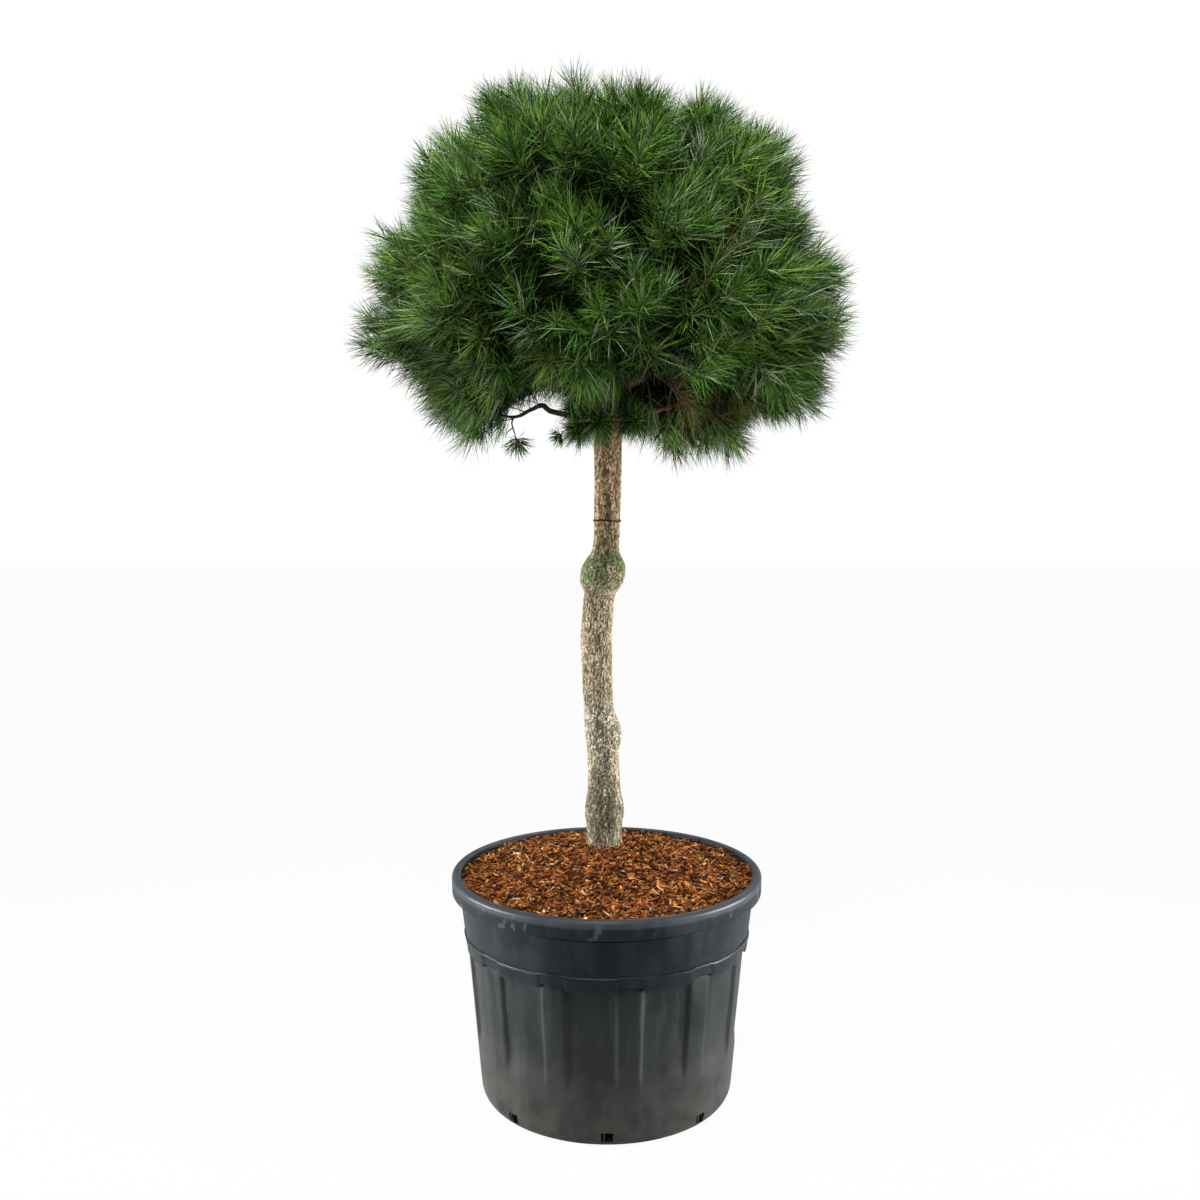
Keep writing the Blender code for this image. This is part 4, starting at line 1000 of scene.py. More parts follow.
# %% Build the stem
def build_stem():
    sides = 132
    heights = np.arange(FOOT.z - 0.004, TRUNK_STATIONS[-1][0], 0.0021)
    points = []
    for height in heights:
        middle = trunk_centre(max(height, FOOT.z))
        for side in range(sides):
            azimuth = 360.0 * side / sides
            radius = trunk_radius(height, azimuth)
            points.append(around(math.radians(azimuth), radius, height, middle.x, middle.y))
    faces = ring_faces(len(heights), sides) + end_faces(len(heights), sides)
    return object_from_faces("stem", points, faces, bark)


stem = build_stem()
run_tree(stem, relief_tree, {"Plate Width": 0.0052, "Plate Length": 0.0120, "Depth": 0.0022,
                             "Material": bark})
shade(stem, 80.0)
place_piece(stem, "bark", "trunk")

# %% [markdown]
# ## The tie
#
# A thin dark tie is left round the stem above the graft union. It is a closed ring of wire that
# follows the stem's own radius and dips a little on one side.

# %% Build the tie
TIE_HEIGHT = 1.087
TIE_WIRE = 0.0017
TIE_DIPS = (0.0016, 0.0012)


def build_tie():
    steps, sides = 120, 10
    middle = trunk_centre(TIE_HEIGHT)
    points = []
    for k in range(steps):
        azimuth = 360.0 * k / steps
        turn = math.radians(azimuth)
        out = Vector((math.sin(turn), -math.cos(turn), 0.0))
        radius = trunk_radius(TIE_HEIGHT, azimuth) + 0.6 * TIE_WIRE
        dip = TIE_DIPS[0] * math.cos(turn * 2.0 + 0.6) - TIE_DIPS[1] * math.cos(turn)
        for side in range(sides):
            roll = 2.0 * math.pi * side / sides
            step = out * (radius + TIE_WIRE * math.cos(roll))
            points.append(middle + step + Vector((0.0, 0.0, dip + TIE_WIRE * math.sin(roll))))
    return object_from_faces("tie", points, ring_faces(steps, sides, closed=True, flipped=True), tie_wire)


tie = build_tie()
outward(tie)
shade(tie, 60.0)
place_piece(tie, "tie_wire", "tie_ring")

# %% [markdown]
# ## The shape of the crown
#
# The crown's outline is a table of how far the needles reach from its middle, by the angle from
# straight up, for the left edge, the right edge and the depth between them. The masses of
# foliage are what is nearest to each of thirteen sites, one at the end of each bough and one on
# top of the stem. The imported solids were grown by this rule, and the fine crown follows it too.
# On top of it come a few pockets where the crown is open and dark.

# %% Crown tables
CROWN_MIDDLE = Vector((0.0, 0.050, 1.530))
REACH_ANGLES = (0, 12, 22, 33, 45, 62, 72, 80, 94, 104, 111, 120, 133, 141, 148, 160, 180)
REACH_LEFT = (.340, .440, .380, .426, .406, .418, .399, .434, .452, .498, .416, .450, .428, .448, .390,
              .390, .275)
REACH_RIGHT = (.340, .266, .340, .398, .420, .416, .409, .406, .470, .470, .450, .520, .374, .458, .434,
               .430, .275)
REACH_DEPTH = (.318, .328, .357, .384, .400, .414, .405, .422, .440, .448, .430, .425, .375, .335, .310,
               .285, .275)
LEFT_FALL, RIGHT_FALL = 1.8, 1.2
BARE_STRIP_X = (-0.205, -0.062)
BARE_STRIP_FLOOR = 1.300
# low and high corner of the place where the right bough is seen from the front
OPEN_WINDOW = ((0.020, -0.50, 1.240), (0.148, 0.030, 1.324))
TOP_SITE = (0.0, 0.0, 0.220)
RINGS = {
    # ring of masses: their azimuths and their angle from straight up
    "upper": ((-36.0, 36.0, 108.0, 180.0, -108.0), 52.0),
    "lower": ((-90.0, -42.0, 6.0, 52.0, 98.0, 150.0, -146.0), 103.0),
}
RING_DISTANCE = 0.268
print("reach at the left and right edge:", max(REACH_LEFT), max(REACH_RIGHT))

# %% Pockets and lumps
POCKETS = (
    # azimuth, angle from straight up, size in degrees, depth, share of brown needles
    (-6, 69, 9, .075, .05), (23, 62, 6, .07, .05), (8, 79, 5, .05, .05), (-19, 84, 5.5, .07, .15),
    (-20, 95, 5.5, .07, .15), (-1, 93, 4.5, .055, .05), (20, 92, 7, .08, .2), (-29, 104, 6, .065, .2),
    (-22, 116, 8, .065, .1), (7, 117, 7, .075, .25), (18, 108, 6, .075, .2), (22, 146, 8, .08, .45),
    (-8, 48, 6, .06, .05), (38, 44, 7, .07, .05), (-11, 101, 6, .055, .05), (60, 84, 7, .055, .05),
    (-62, 98, 7, .05, .1), (110, 74, 9, .07, .1), (150, 100, 9, .075, .25), (-150, 80, 9, .07, .1),
    (-115, 104, 8, .07, .25), (178, 66, 8, .065, .05),
)
CLUSTERS = (
    # azimuth and angle of the middle of each lump of shoots, on the front half
    (-27, 58), (-8, 56), (8, 60), (44, 58), (-47, 72), (-2, 80), (19, 77), (47, 74), (-7, 93), (-45, 95),
    (-21, 104), (0, 107), (13, 101), (42, 95), (-38, 108), (6, 121), (28, 117), (47, 110), (-50, 128),
    (-12, 122), (-25, 80), (-80, 55), (-78, 82), (-80, 108), (75, 55), (72, 84), (74, 108), (30, 135),
    (70, 132), (-85, 130), (25, 96),
)
# one on top and some round the back
CLUSTERS += ((0, 8), (-60, 30), (10, 32), (75, 32), (150, 34), (-135, 32)) + tuple(
    (107 + 24 * k + 9 * (row % 2), 58 + 25 * row) for row in range(4) for k in range(7))
CREVICE = 0.048
SPLAY = 0.85
print("pockets:", len(POCKETS), " lumps:", len(CLUSTERS))


# %% Directions, reach and sites
def direction(azimuth, angle):
    """A unit vector. Azimuth 0 is the front, -Y, and runs towards +X. Angle 0 is straight up."""
    turn, tilt = math.radians(azimuth), math.radians(angle)
    return Vector((math.sin(tilt) * math.sin(turn), -math.sin(tilt) * math.cos(turn), math.cos(tilt)))


def reach_of(azimuth, angle):
    """How far the needles' tips reach from the crown's middle in a direction."""
    side = math.sin(math.radians(azimuth))
    edge, fall = (REACH_RIGHT, RIGHT_FALL) if side > 0.0 else (REACH_LEFT, LEFT_FALL)
    sideways = abs(side) ** fall
    return float((1.0 - sideways) * np.interp(angle, REACH_ANGLES, REACH_DEPTH)
                 + sideways * np.interp(angle, REACH_ANGLES, edge))


def pocket_at(azimuth, angle):
    """How deep the pockets are in a direction, and their share of brown needles."""
    here = direction(azimuth, angle)
    depth, brown = 0.0, 0.0
    for turn, tilt, size, deep, share in POCKETS:
        away = math.degrees(here.angle(direction(turn, tilt)))
        near = math.exp(-((away / size) ** 2))
        depth += deep * near
        brown = max(brown, share * near)
    return min(depth, 0.09), brown


def cluster_at(here):
    """How far a direction is from the middle of its lump, in degrees, and the lump's middle."""
    middle = max(CLUSTER_MIDDLES, key=lambda other: other.dot(here))
    return math.degrees(here.angle(middle)), middle


def site_of(azimuth, angle, distance):
    return CROWN_MIDDLE + direction(azimuth, angle) * distance


def all_sites():
    """The middle of each foliage mass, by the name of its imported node."""
    sites = {"foliage_top": site_of(*TOP_SITE)}
    for ring, (azimuths, angle) in RINGS.items():
        for k, azimuth in enumerate(azimuths):
            sites[f"foliage_{ring}_{k + 1}"] = site_of(azimuth, angle, RING_DISTANCE)
    return sites


def nearest_site(point):
    return min(SITES, key=lambda name: (point - SITES[name]).length)


SITES = all_sites()
CLUSTER_MIDDLES = [direction(*cluster) for cluster in CLUSTERS]
print("masses:", len(SITES))

# %% [markdown]
# ## The boughs
#
# Each bough leaves the stem, sags a little and rises to its mass. A bough is first only a line
# of points, each with a radius. One Geometry Nodes tree turns such lines into round limbs, and it
# serves the boughs, the branchlets and the twigs alike. The boughs then get bark relief as well.

# %% Limb tree
def make_limb_tree():
    tree, given, result = new_geometry_tree(
        "limb_surface", [("Sides", INT, 6), ("Knobs", FLOAT, 0.0), ("Knob Size", FLOAT, 0.02)])
    line = add_node(tree, "GeometryNodeMeshToCurve", {"Mesh": given["Geometry"]})
    radius = add_node(tree, "GeometryNodeInputNamedAttribute", {"Name": "radius"}, data_type="FLOAT")
    ring = add_node(tree, "GeometryNodeCurvePrimitiveCircle", {"Resolution": given["Sides"], "Radius": 1.0})
    tube = add_node(tree, "GeometryNodeCurveToMesh",
                    {"Curve": line.outputs[0], "Profile Curve": ring.outputs[0],
                     "Scale": radius.outputs["Attribute"], "Fill Caps": True})
    lumps = add_node(tree, "ShaderNodeTexNoise",
                     {"Scale": maths(tree, "DIVIDE", 1.0, given["Knob Size"]), "Detail": 2.0})
    amount = times(tree, maths(tree, "SUBTRACT", lumps.outputs["Fac"], 0.45), given["Knobs"])
    smooth = add_node(tree, "GeometryNodeSetShadeSmooth",
                      {"Geometry": push_out(tree, tube.outputs[0], amount)})
    return end_tree(tree, given, result, smooth.outputs[0])


limb_tree = make_limb_tree()
print("limb tree nodes:", len(limb_tree.nodes))


def limb_object(name, lines, sides, finish, knobs=0.0, knob_size=0.02):
    """Round limbs from lines, each a list of points and a list of radii."""
    points, edges, radii = [], [], []
    for centres, sizes in lines:
        first = len(points)
        points += [tuple(centre) for centre in centres]
        radii += [float(size) for size in sizes]
        edges += [(first + k, first + k + 1) for k in range(len(centres) - 1)]
    mesh = bpy.data.meshes.new(name)
    mesh.from_pydata(points, edges, [])
    mesh.attributes.new("radius", "FLOAT", "POINT").data.foreach_set("value", radii)
    return run_tree(add_object(name, mesh), limb_tree,
                    {"Sides": sides, "Knobs": knobs, "Knob Size": knob_size, "Material": finish})


# %% Bough tables
FORKS = {
    # ring: height of the first fork, step between forks, their order, foot and tip radius of a
    # bough, how far towards its mass it reaches, sag
    "upper": (1.425, 0.022, (2, 5), (0.0105, 0.0068), 0.50, 0.014),
    "lower": (1.315, 0.020, (3, 4), (0.0125, 0.0072), 0.56, 0.020),
}
OPEN_BOUGHS = {
    # mass: knots of its bough, which is seen from below
    "foliage_lower_1": ((0, .052, 1.255), (-.031, .050, 1.264), (-.068, .042, 1.280), (-.105, .036, 1.289),
                        (-.119, .032, 1.299), (-.141, .028, 1.290), (-.171, .022, 1.277),
                        (-.212, .020, 1.286)),
    "foliage_lower_5": ((0, .052, 1.262), (.062, .042, 1.281), (.130, .034, 1.300), (.196, .040, 1.322)),
}
BOUGH_STEPS, BOUGH_SIDES = 46, 26
BOUGH_KNOBS, BOUGH_KNOB_SIZE = 0.32, 0.03  # height of the knobs as a share of the foot's radius
OPEN_BOUGH = (0.0074, 0.0021)  # foot and tip radius, as in the other two sizes
HANGING_TWIG = ((-.171, .022, 1.277), (-.1745, .021, 1.266), (-.1700, .020, 1.2505))
HANGING_TWIG_SIZE = (0.0020, 0.0012)
BARE_TWIGS = (
    # knots of each fine twig of the left bough
    ((-.139, .029, 1.290), (-.143, .026, 1.300), (-.138, .024, 1.312)),
    ((-.160, .024, 1.281), (-.180, .020, 1.272), (-.206, .018, 1.270), (-.226, .016, 1.263)),
    ((-.190, .019, 1.271), (-.208, .014, 1.259), (-.228, .010, 1.256)),
    ((-.150, .026, 1.286), (-.170, .030, 1.294), (-.198, .032, 1.297)),
    ((-.122, .031, 1.298), (-.136, .036, 1.306), (-.160, .040, 1.308)),
    ((-.058, .044, 1.275), (-.068, .030, 1.262), (-.080, .016, 1.250)),
    ((-.172, .021, 1.258), (-.182, .014, 1.250), (-.186, .010, 1.240)),
)
BARE_TWIG = (0.0014, 0.0007)
print("boughs seen from below:", ", ".join(OPEN_BOUGHS))


# %% Lines of the boughs
def curve_point(knots, share):
    """A point on the smooth curve through the knots."""
    last = len(knots) - 1
    place = min(share * last, last - 1e-9)
    k = int(place)
    t = place - k
    a, b, c, d = (knots[min(max(k + step, 0), last)] for step in (-1, 0, 1, 2))
    return 0.5 * (2.0 * b + (c - a) * t + (2.0 * a - 5.0 * b + 4.0 * c - d) * t * t
                  + (3.0 * b - a - 3.0 * c + d) * t * t * t)


def limb_line(knots, foot, tip, count):
    centres = [curve_point(knots, k / (count - 1)) for k in range(count)]
    return centres, [foot + (tip - foot) * (k / (count - 1)) ** 0.8 for k in range(count)]


def inner_bough(ring, k, site):
    """Knots of a bough hidden in the crown, from the stem part of the way to its mass."""
    first, step, (stride, count), _, share, sag = FORKS[ring]
    start = trunk_centre(first + step * (stride * k % count))
    tip = start.lerp(site, share) + Vector((0.0, 0.0, -sag / 2.0))
    return [start, start.lerp(tip, 0.5) + Vector((0.0, 0.0, -sag)), tip]


def bough_plan():
    """For each mass's name: its bough's knots, foot radius and tip radius."""
    plans = {}
    for name, site in SITES.items():
        _, ring, *number = name.split("_")
        if name in OPEN_BOUGHS:
            plans[name] = ([Vector(knot) for knot in OPEN_BOUGHS[name]], *OPEN_BOUGH)
        elif ring in FORKS:
            plans[name] = (inner_bough(ring, int(number[0]) - 1, site), *FORKS[ring][3])
    return plans


boughs = bough_plan()
print("boughs:", len(boughs))

# %% Build the boughs
for name, (knots, foot, tip) in boughs.items():
    piece = limb_object(name.replace("foliage", "limb"), [limb_line(knots, foot, tip, BOUGH_STEPS)],
                        BOUGH_SIDES, bough_bark, BOUGH_KNOBS * foot, BOUGH_KNOB_SIZE)
    run_tree(piece, relief_tree, {"Plate Width": 0.0055, "Plate Length": 0.0080, "Depth": 0.0009,
                                  "Material": bough_bark})
    place_piece(piece, "young_bark", name.replace("foliage", "bough"))
twig_line = limb_line([Vector(knot) for knot in HANGING_TWIG], *HANGING_TWIG_SIZE, 12)
place_piece(limb_object("limb_hanging_twig", [twig_line], 12, young_bark, 0.0006, 0.008), "young_bark",
            "hanging_twig")
bare_lines = [limb_line([Vector(knot) for knot in knots], *BARE_TWIG, 10) for knots in BARE_TWIGS]
place_piece(limb_object("limb_bare_twigs", bare_lines, 7, young_bark, 0.0004, 0.006), "young_bark")

# %% [markdown]
# ## Where the shoots stand
#
# The shoots are spread evenly over the crown by turning a golden angle from one to the next, as
# seeds stand in a flower head. Each ends at the crown's reach and leans upward, as pine shoots
# do. A first layer makes the surface. Two more, further in, fill the depth with browning shoots
# and with dark ones whose tints are painted shade. A short table adds the shoots that stand out
# of the outline.

# %% Shoot rule
SEED = 41
LAYERS = (
    # name, how many shoots, how far below the reach they end, spread of that depth
    ("outer", 1250, -0.014, 0.034),
    ("middle", 680, 0.048, 0.040),
    ("inner", 420, 0.105, 0.060),
)
SHOOT_LENGTH = (0.045, 0.085)
NEEDLE_LENGTH = (0.052, 0.076)
GOLDEN_ANGLE = 180.0 * (3.0 - math.sqrt(5.0))
ANGLE_JITTER, AZIMUTH_JITTER = 3.5, 5.0
POCKET_LIMIT = (0.025, 0.055)  # where a pocket is deeper than this, it has no outer shoots
POCKET_SINK = 0.6  # share of a pocket's depth by which its shoots are set back
CREVICE_ENDS = (6.0, 13.0)  # degrees from the middle of a lump where the crevice begins and is full
CREVICE_SHADE = 14.0
SHOOT_LIFT = 0.42
LIFT_ENDS = (95.0, 125.0)  # angles from straight up between which the lift fades out
SHOOT_WANDER = 0.20
OVERREACH = 1.01
PAST_AXIS = 0.88  # share of a needle that reaches past the end of its shoot
BROWNING = 0.65  # share of brown needles round the open window
STANDING_LENGTH = 0.080
STANDING_OUT = (
    # end of the needles, direction of the shoot, length of its needles
    ((-.458, .02, 1.6), (-.96, 0, .22), .064), ((-.48, .03, 1.452), (-.96, 0, .2), .066),
    ((-.47, .01, 1.43), (-.96, 0, .02), .062), ((-.474, .05, 1.47), (-.9, 0, .4), .062),
    ((-.408, -.02, 1.358), (-.96, -.1, -.15), .064), ((-.235, -.04, 1.866), (-.45, -.1, .88), .066),
    ((-.195, .02, 1.872), (-.25, 0, .96), .066), ((-.275, .01, 1.812), (-.75, -.1, .62), .066),
    ((.418, .01, 1.306), (.97, 0, -.1), .064), ((.4, -.02, 1.29), (.9, 0, -.35), .064),
    ((.425, .02, 1.33), (.97, 0, .1), .062), ((.268, -.01, 1.2), (.6, -.1, -.75), .06),
    ((.24, -.02, 1.198), (.3, -.1, -.9), .06), ((.1, -.06, 1.192), (-.1, -.1, -.95), .06),
    ((.16, -.04, 1.184), (.25, -.1, -.92), .06), ((.13, -.03, 1.176), (.15, -.1, -.95), .06),
    ((-.255, -.02, 1.228), (-.35, -.1, -.9), .064), ((-.3, .01, 1.24), (-.5, 0, -.85), .064),
)
Shoot = namedtuple("Shoot", "layer foot along length needle light brown")
print("shoots that stand out:", len(STANDING_OUT))


# %% Place the shoots
def random_vector(rng):
    return Vector((rng.uniform(-1.0, 1.0), rng.uniform(-1.0, 1.0), rng.uniform(-1.0, 1.0)))


def in_bare_strip(point, margin=0.0):
    low, high = BARE_STRIP_X
    return low - margin < point.x < high + margin and point.z < BARE_STRIP_FLOOR + margin


def in_window(point, margin=0.0):
    low, high = OPEN_WINDOW
    return all(low[k] - margin < point[k] < high[k] + margin for k in range(3))


def shoot_places(rng, layer, count, below, spread):
    """Each shoot of a layer, with its foot, direction, lengths and share of brown needles."""
    found = []
    for k in range(count):
        height = 1.0 - 2.0 * (k + 0.5) / count
        angle = math.degrees(math.acos(height)) + rng.uniform(-ANGLE_JITTER, ANGLE_JITTER)
        angle = min(max(angle, 0.0), 178.0)
        azimuth = (k * GOLDEN_ANGLE + rng.uniform(-AZIMUTH_JITTER, AZIMUTH_JITTER)) % 360.0
        pocket, brown = pocket_at(azimuth, angle)
        if layer == "outer" and pocket > rng.uniform(*POCKET_LIMIT):
            continue
        out = direction(azimuth, angle)
        away, middle = cluster_at(out)
        rounded = (1.0 - 0.85 * out.x ** 2) * (1.0 - 0.7 * max(out.z, 0.0) ** 2)
        crevice = CREVICE * smooth_step(*CREVICE_ENDS, away) * rounded
        lift = Vector((0.0, 0.0, SHOOT_LIFT * (1.0 - smooth_step(*LIFT_ENDS, angle))))
        along = (out + SPLAY * (out - middle) + lift + SHOOT_WANDER * random_vector(rng)).normalized()
        length, needle = rng.uniform(*SHOOT_LENGTH), rng.uniform(*NEEDLE_LENGTH)
        depth = below + POCKET_SINK * pocket + crevice + rng.uniform(0.0, spread)
        end = CROWN_MIDDLE + out * (reach_of(azimuth, angle) * OVERREACH - depth)
        foot = end - along * (length + PAST_AXIS * needle)
        if in_bare_strip(end) or in_bare_strip(foot, 0.01) or in_window(end) or in_window(foot, 0.01):
            continue
        if in_window(foot, 0.05) and foot.y > -0.16:
            brown = max(brown, BROWNING)
        # A shoot's light picks its tint: lighter tints high up and on the tops of lumps are painted light,
        # darker ones in crevices painted shade.
        light = out.z + 2.0 * (out.z - middle.z) - CREVICE_SHADE * crevice + 0.25 * rng.uniform(-1.0, 1.0)
        found.append(Shoot(layer, foot, along, length, needle, light, brown))
    return found


def standing_out():
    for end, along, needle in STANDING_OUT:
        end, along = Vector(end), Vector(along).normalized()
        foot = end - along * (STANDING_LENGTH + PAST_AXIS * needle)
        # the light of a shoot that stands out is its height, which picks its painted light
        yield Shoot("outer", foot, along, STANDING_LENGTH, needle, end.z - CROWN_MIDDLE.z, 0.0)


def all_shoots():
    rng = random.Random(SEED)
    shoots = {name: [] for name in SITES}
    places = [shoot for layer in LAYERS for shoot in shoot_places(rng, *layer)]
    for shoot in (*places, *standing_out()):
        shoots[nearest_site(shoot.foot)].append(shoot)
    return shoots


shoots_of = all_shoots()
print("shoots:", {name[8:]: len(shoots) for name, shoots in shoots_of.items()})

# %% [markdown]
# ## Twigs
#
# Each bough goes on as a stem to the middle of its mass. There it forks into branchlets, one for
# each group of neighbouring shoots, and each branchlet into the twigs that bear the shoots. A
# shoot's own axis curves upward and ends in a bud. All of it is lines again, for the limb tree.

# %% Twig rule
GROUP_SIZE = 6
FORK_SHARE = 0.55
STEM_RADII = (0.0062, 0.0050)
BRANCHLET_RADII = (0.0042, 0.0032)
TWIG_RADIUS = 0.0021
SHOOT_RADIUS = 0.0013
BUD_RADII, BUD_LENGTH = (0.0011, 0.0018, 0.0006), 0.009
AXIS_POINTS = 6
AXIS_RISE = 0.16  # how far a level shoot's end bends up, as a share of its length


def group_shoots(shoots):
    """Split a mass's shoots into groups of neighbours, each fed by one branchlet."""
    left = list(shoots)
    groups = []
    while left:
        first = left[0].foot
        left.sort(key=lambda shoot: (shoot.foot - first).length)
        groups.append(left[:GROUP_SIZE])
        left = left[GROUP_SIZE:]
    return groups


def shoot_axis(shoot):
    """The points of a shoot's axis. It bends upward towards its end."""
    rise = AXIS_RISE * (1.0 - abs(shoot.along.z)) * shoot.length
    shares = [k / (AXIS_POINTS - 1) for k in range(AXIS_POINTS)]
    return [shoot.foot + shoot.along * (shoot.length * share) + Vector((0.0, 0.0, rise * share * share))
            for share in shares]


def twig_to(start, shoot):
    """A twig from its fork that bends over into the shoot's axis and ends in a bud."""
    axis = shoot_axis(shoot)
    bend = start.lerp(axis[0], 0.55) - shoot.along * 0.012
    centres = [curve_point([start, bend, axis[0]], k / 5.0) for k in range(5)] + axis
    radii = [TWIG_RADIUS + (SHOOT_RADIUS - TWIG_RADIUS) * k / 5.0 for k in range(6)]
    radii += [SHOOT_RADIUS] * (len(centres) - 8) + list(BUD_RADII)
    bud = centres[-1] + (centres[-1] - centres[-2]).normalized() * BUD_LENGTH
    return centres + [bud], radii


def twig_lines(name, shoots):
    """Lines of the stem, the branchlets and the twigs of a mass."""
    site = SITES[name]
    if name == "foliage_top":
        start = trunk_centre(TRUNK_STATIONS[-1][0])
    else:
        start = boughs[name][0][-1]
    lines = [limb_line([start, start.lerp(site, 0.5), site], *STEM_RADII, 7)]
    for group in group_shoots(shoots):
        middle = sum((shoot.foot for shoot in group), Vector()) / len(group)
        fork = site.lerp(middle, FORK_SHARE)
        lines.append(limb_line([site, site.lerp(fork, 0.5), fork], *BRANCHLET_RADII, 5))
        for shoot in group:
            line = twig_to(fork, shoot)
            if not any(in_bare_strip(centre) for centre in line[0]):
                lines.append(line)
    return lines


# %% Grow the twigs
for name, shoots in shoots_of.items():
    twigs = limb_object(name.replace("foliage", "twigs"), twig_lines(name, shoots), 5, shoot_bark)
    place_piece(twigs, "young_bark", name)

# %% [markdown]
# ## Needles
#
# A needle is a narrow blade of two triangles: wide near its base, bent a little at its widest
# place, and drawn out to a point. Needles stand in pairs round the axis of a shoot. Near its foot
# they stand out widely, and near its end they lean forward, which gives each shoot the look of a
# brush. All blades of a mass are worked out as arrays and become one mesh, and each shoot is
# dealt its tint from the list for its layer and its place. These lists paint light and shade:
# lighter tints on the tops of lumps are painted light, and darker ones in crevices, in the inner
# layers and at the feet of shoots are painted shade.

# %% Needle sizes
PAIRS = {"outer": 62, "middle": 46, "inner": 46}
WIDTH = {"outer": 0.00142, "middle": 0.0019, "inner": 0.0036}
LEAN_FOOT, LEAN_END = 66.0, 24.0  # degrees from the axis
LEAN_CURVE, LEAN_SPREAD = 2.2, 9.0
TUFT_START, TUFT_LEAN = 0.93, (0.02, 0.65)  # past this share of the axis, needles lean forward
NEEDLE_WANDER = 0.14
LENGTH_SPREAD = (0.80, 1.08)
WIDTH_SPREAD = (0.75, 1.15)
WIDEST = 0.42  # share of a needle's length where it is widest
BEND_FORWARD, BEND_WANDER, BEND_DOWN = 0.10, 0.11, -0.07
NEEDLE_FLOOR, FLOOR_SPREAD = 1.290, 0.007
print("pairs of needles on a shoot:", PAIRS)

# %% Tints of the shoots
TINTS = {
    # layer, or the light on a shoot of the outer layer: its tints and how often each is dealt
    # lit, half_lit and dim deal lighter tints to shoots high up and on lump tops, as painted light, and
    # darker ones in crevices, as painted shade
    "lit": {"fresh": 0.24, "bright": 0.44, "leaf": 0.26, "deep": 0.03, "grey": 0.03},
    "half_lit": {"fresh": 0.16, "bright": 0.34, "leaf": 0.30, "deep": 0.08, "grey": 0.12},
    "dim": {"fresh": 0.18, "bright": 0.32, "leaf": 0.20, "deep": 0.08, "grey": 0.19, "olive": 0.03},
    # the middle and inner layers take mostly the deep and shade tints: painted shade for the depth of the
    # crown
    "middle": {"bright": 0.03, "leaf": 0.15, "deep": 0.38, "shade": 0.38, "olive": 0.04, "brown": 0.02},
    "inner": {"shade": 0.93, "olive": 0.02, "brown": 0.05},
}
LIT, HALF_LIT = 0.50, 0.02
BROWN_SHARE = 0.6  # of the shoots in a browning place, the rest are olive
# share of the needles at a shoot's foot turned to the shade tint, as painted shade at the foot
SHADED_FOOT = 0.80


def deal_tint(shoot, rng):
    """The tint of a shoot, by its layer, by the painted light and shade of its place and by the pocket it
    stands in.
    """
    if rng.random() < shoot.brown:
        return "brown" if rng.random() < BROWN_SHARE else "olive"
    place = shoot.layer
    if place == "outer":
        place = "lit" if shoot.light > LIT else "half_lit" if shoot.light > HALF_LIT else "dim"
    return rng.choices(list(TINTS[place]), weights=list(TINTS[place].values()))[0]


# %% Tints of the needles
TINT_NAMES = list(NEEDLE_TINTS)
# Needles may differ from their shoot's tint: shade among them is painted shade, dark strands between lit
# ones, and grey a painted sheen.
TINT_STEPS = {
    # tint of a shoot: tints its needles may take, with how often
    "fresh": {"fresh": 0.44, "bright": 0.20, "leaf": 0.08, "grey": 0.08, "deep": 0.12, "shade": 0.08},
    "bright": {"bright": 0.40, "fresh": 0.16, "leaf": 0.10, "grey": 0.08, "deep": 0.16, "shade": 0.10},
    "leaf": {"leaf": 0.34, "bright": 0.20, "grey": 0.12, "deep": 0.22, "shade": 0.12},
    "deep": {"deep": 0.50, "leaf": 0.22, "shade": 0.24, "grey": 0.04},
    "shade": {"shade": 0.92, "deep": 0.08},
    "grey": {"grey": 0.34, "leaf": 0.34, "bright": 0.18, "deep": 0.14},
    "olive": {"olive": 0.44, "leaf": 0.26, "brown": 0.20, "shade": 0.10},
    "brown": {"brown": 0.50, "olive": 0.26, "shade": 0.24},
}


def needle_tints_of(tint, count, numbers):
    """The tint of each needle of a shoot, as places in the list of tints."""
    steps = TINT_STEPS[tint]
    tints = numbers.choice([TINT_NAMES.index(name) for name in steps], count, p=list(steps.values()))
    # needles near a shoot's foot take the shade tint: painted shade at the foot of the shoot
    shaded = numbers.random(count) < SHADED_FOOT * (1.0 - np.arange(count) / (0.75 * count))
    return np.where(shaded, TINT_NAMES.index("shade"), tints)


# %% Blades of a shoot
def unit_rows(rows):
    return rows / np.maximum(np.linalg.norm(rows, axis=1, keepdims=True), 1e-9)


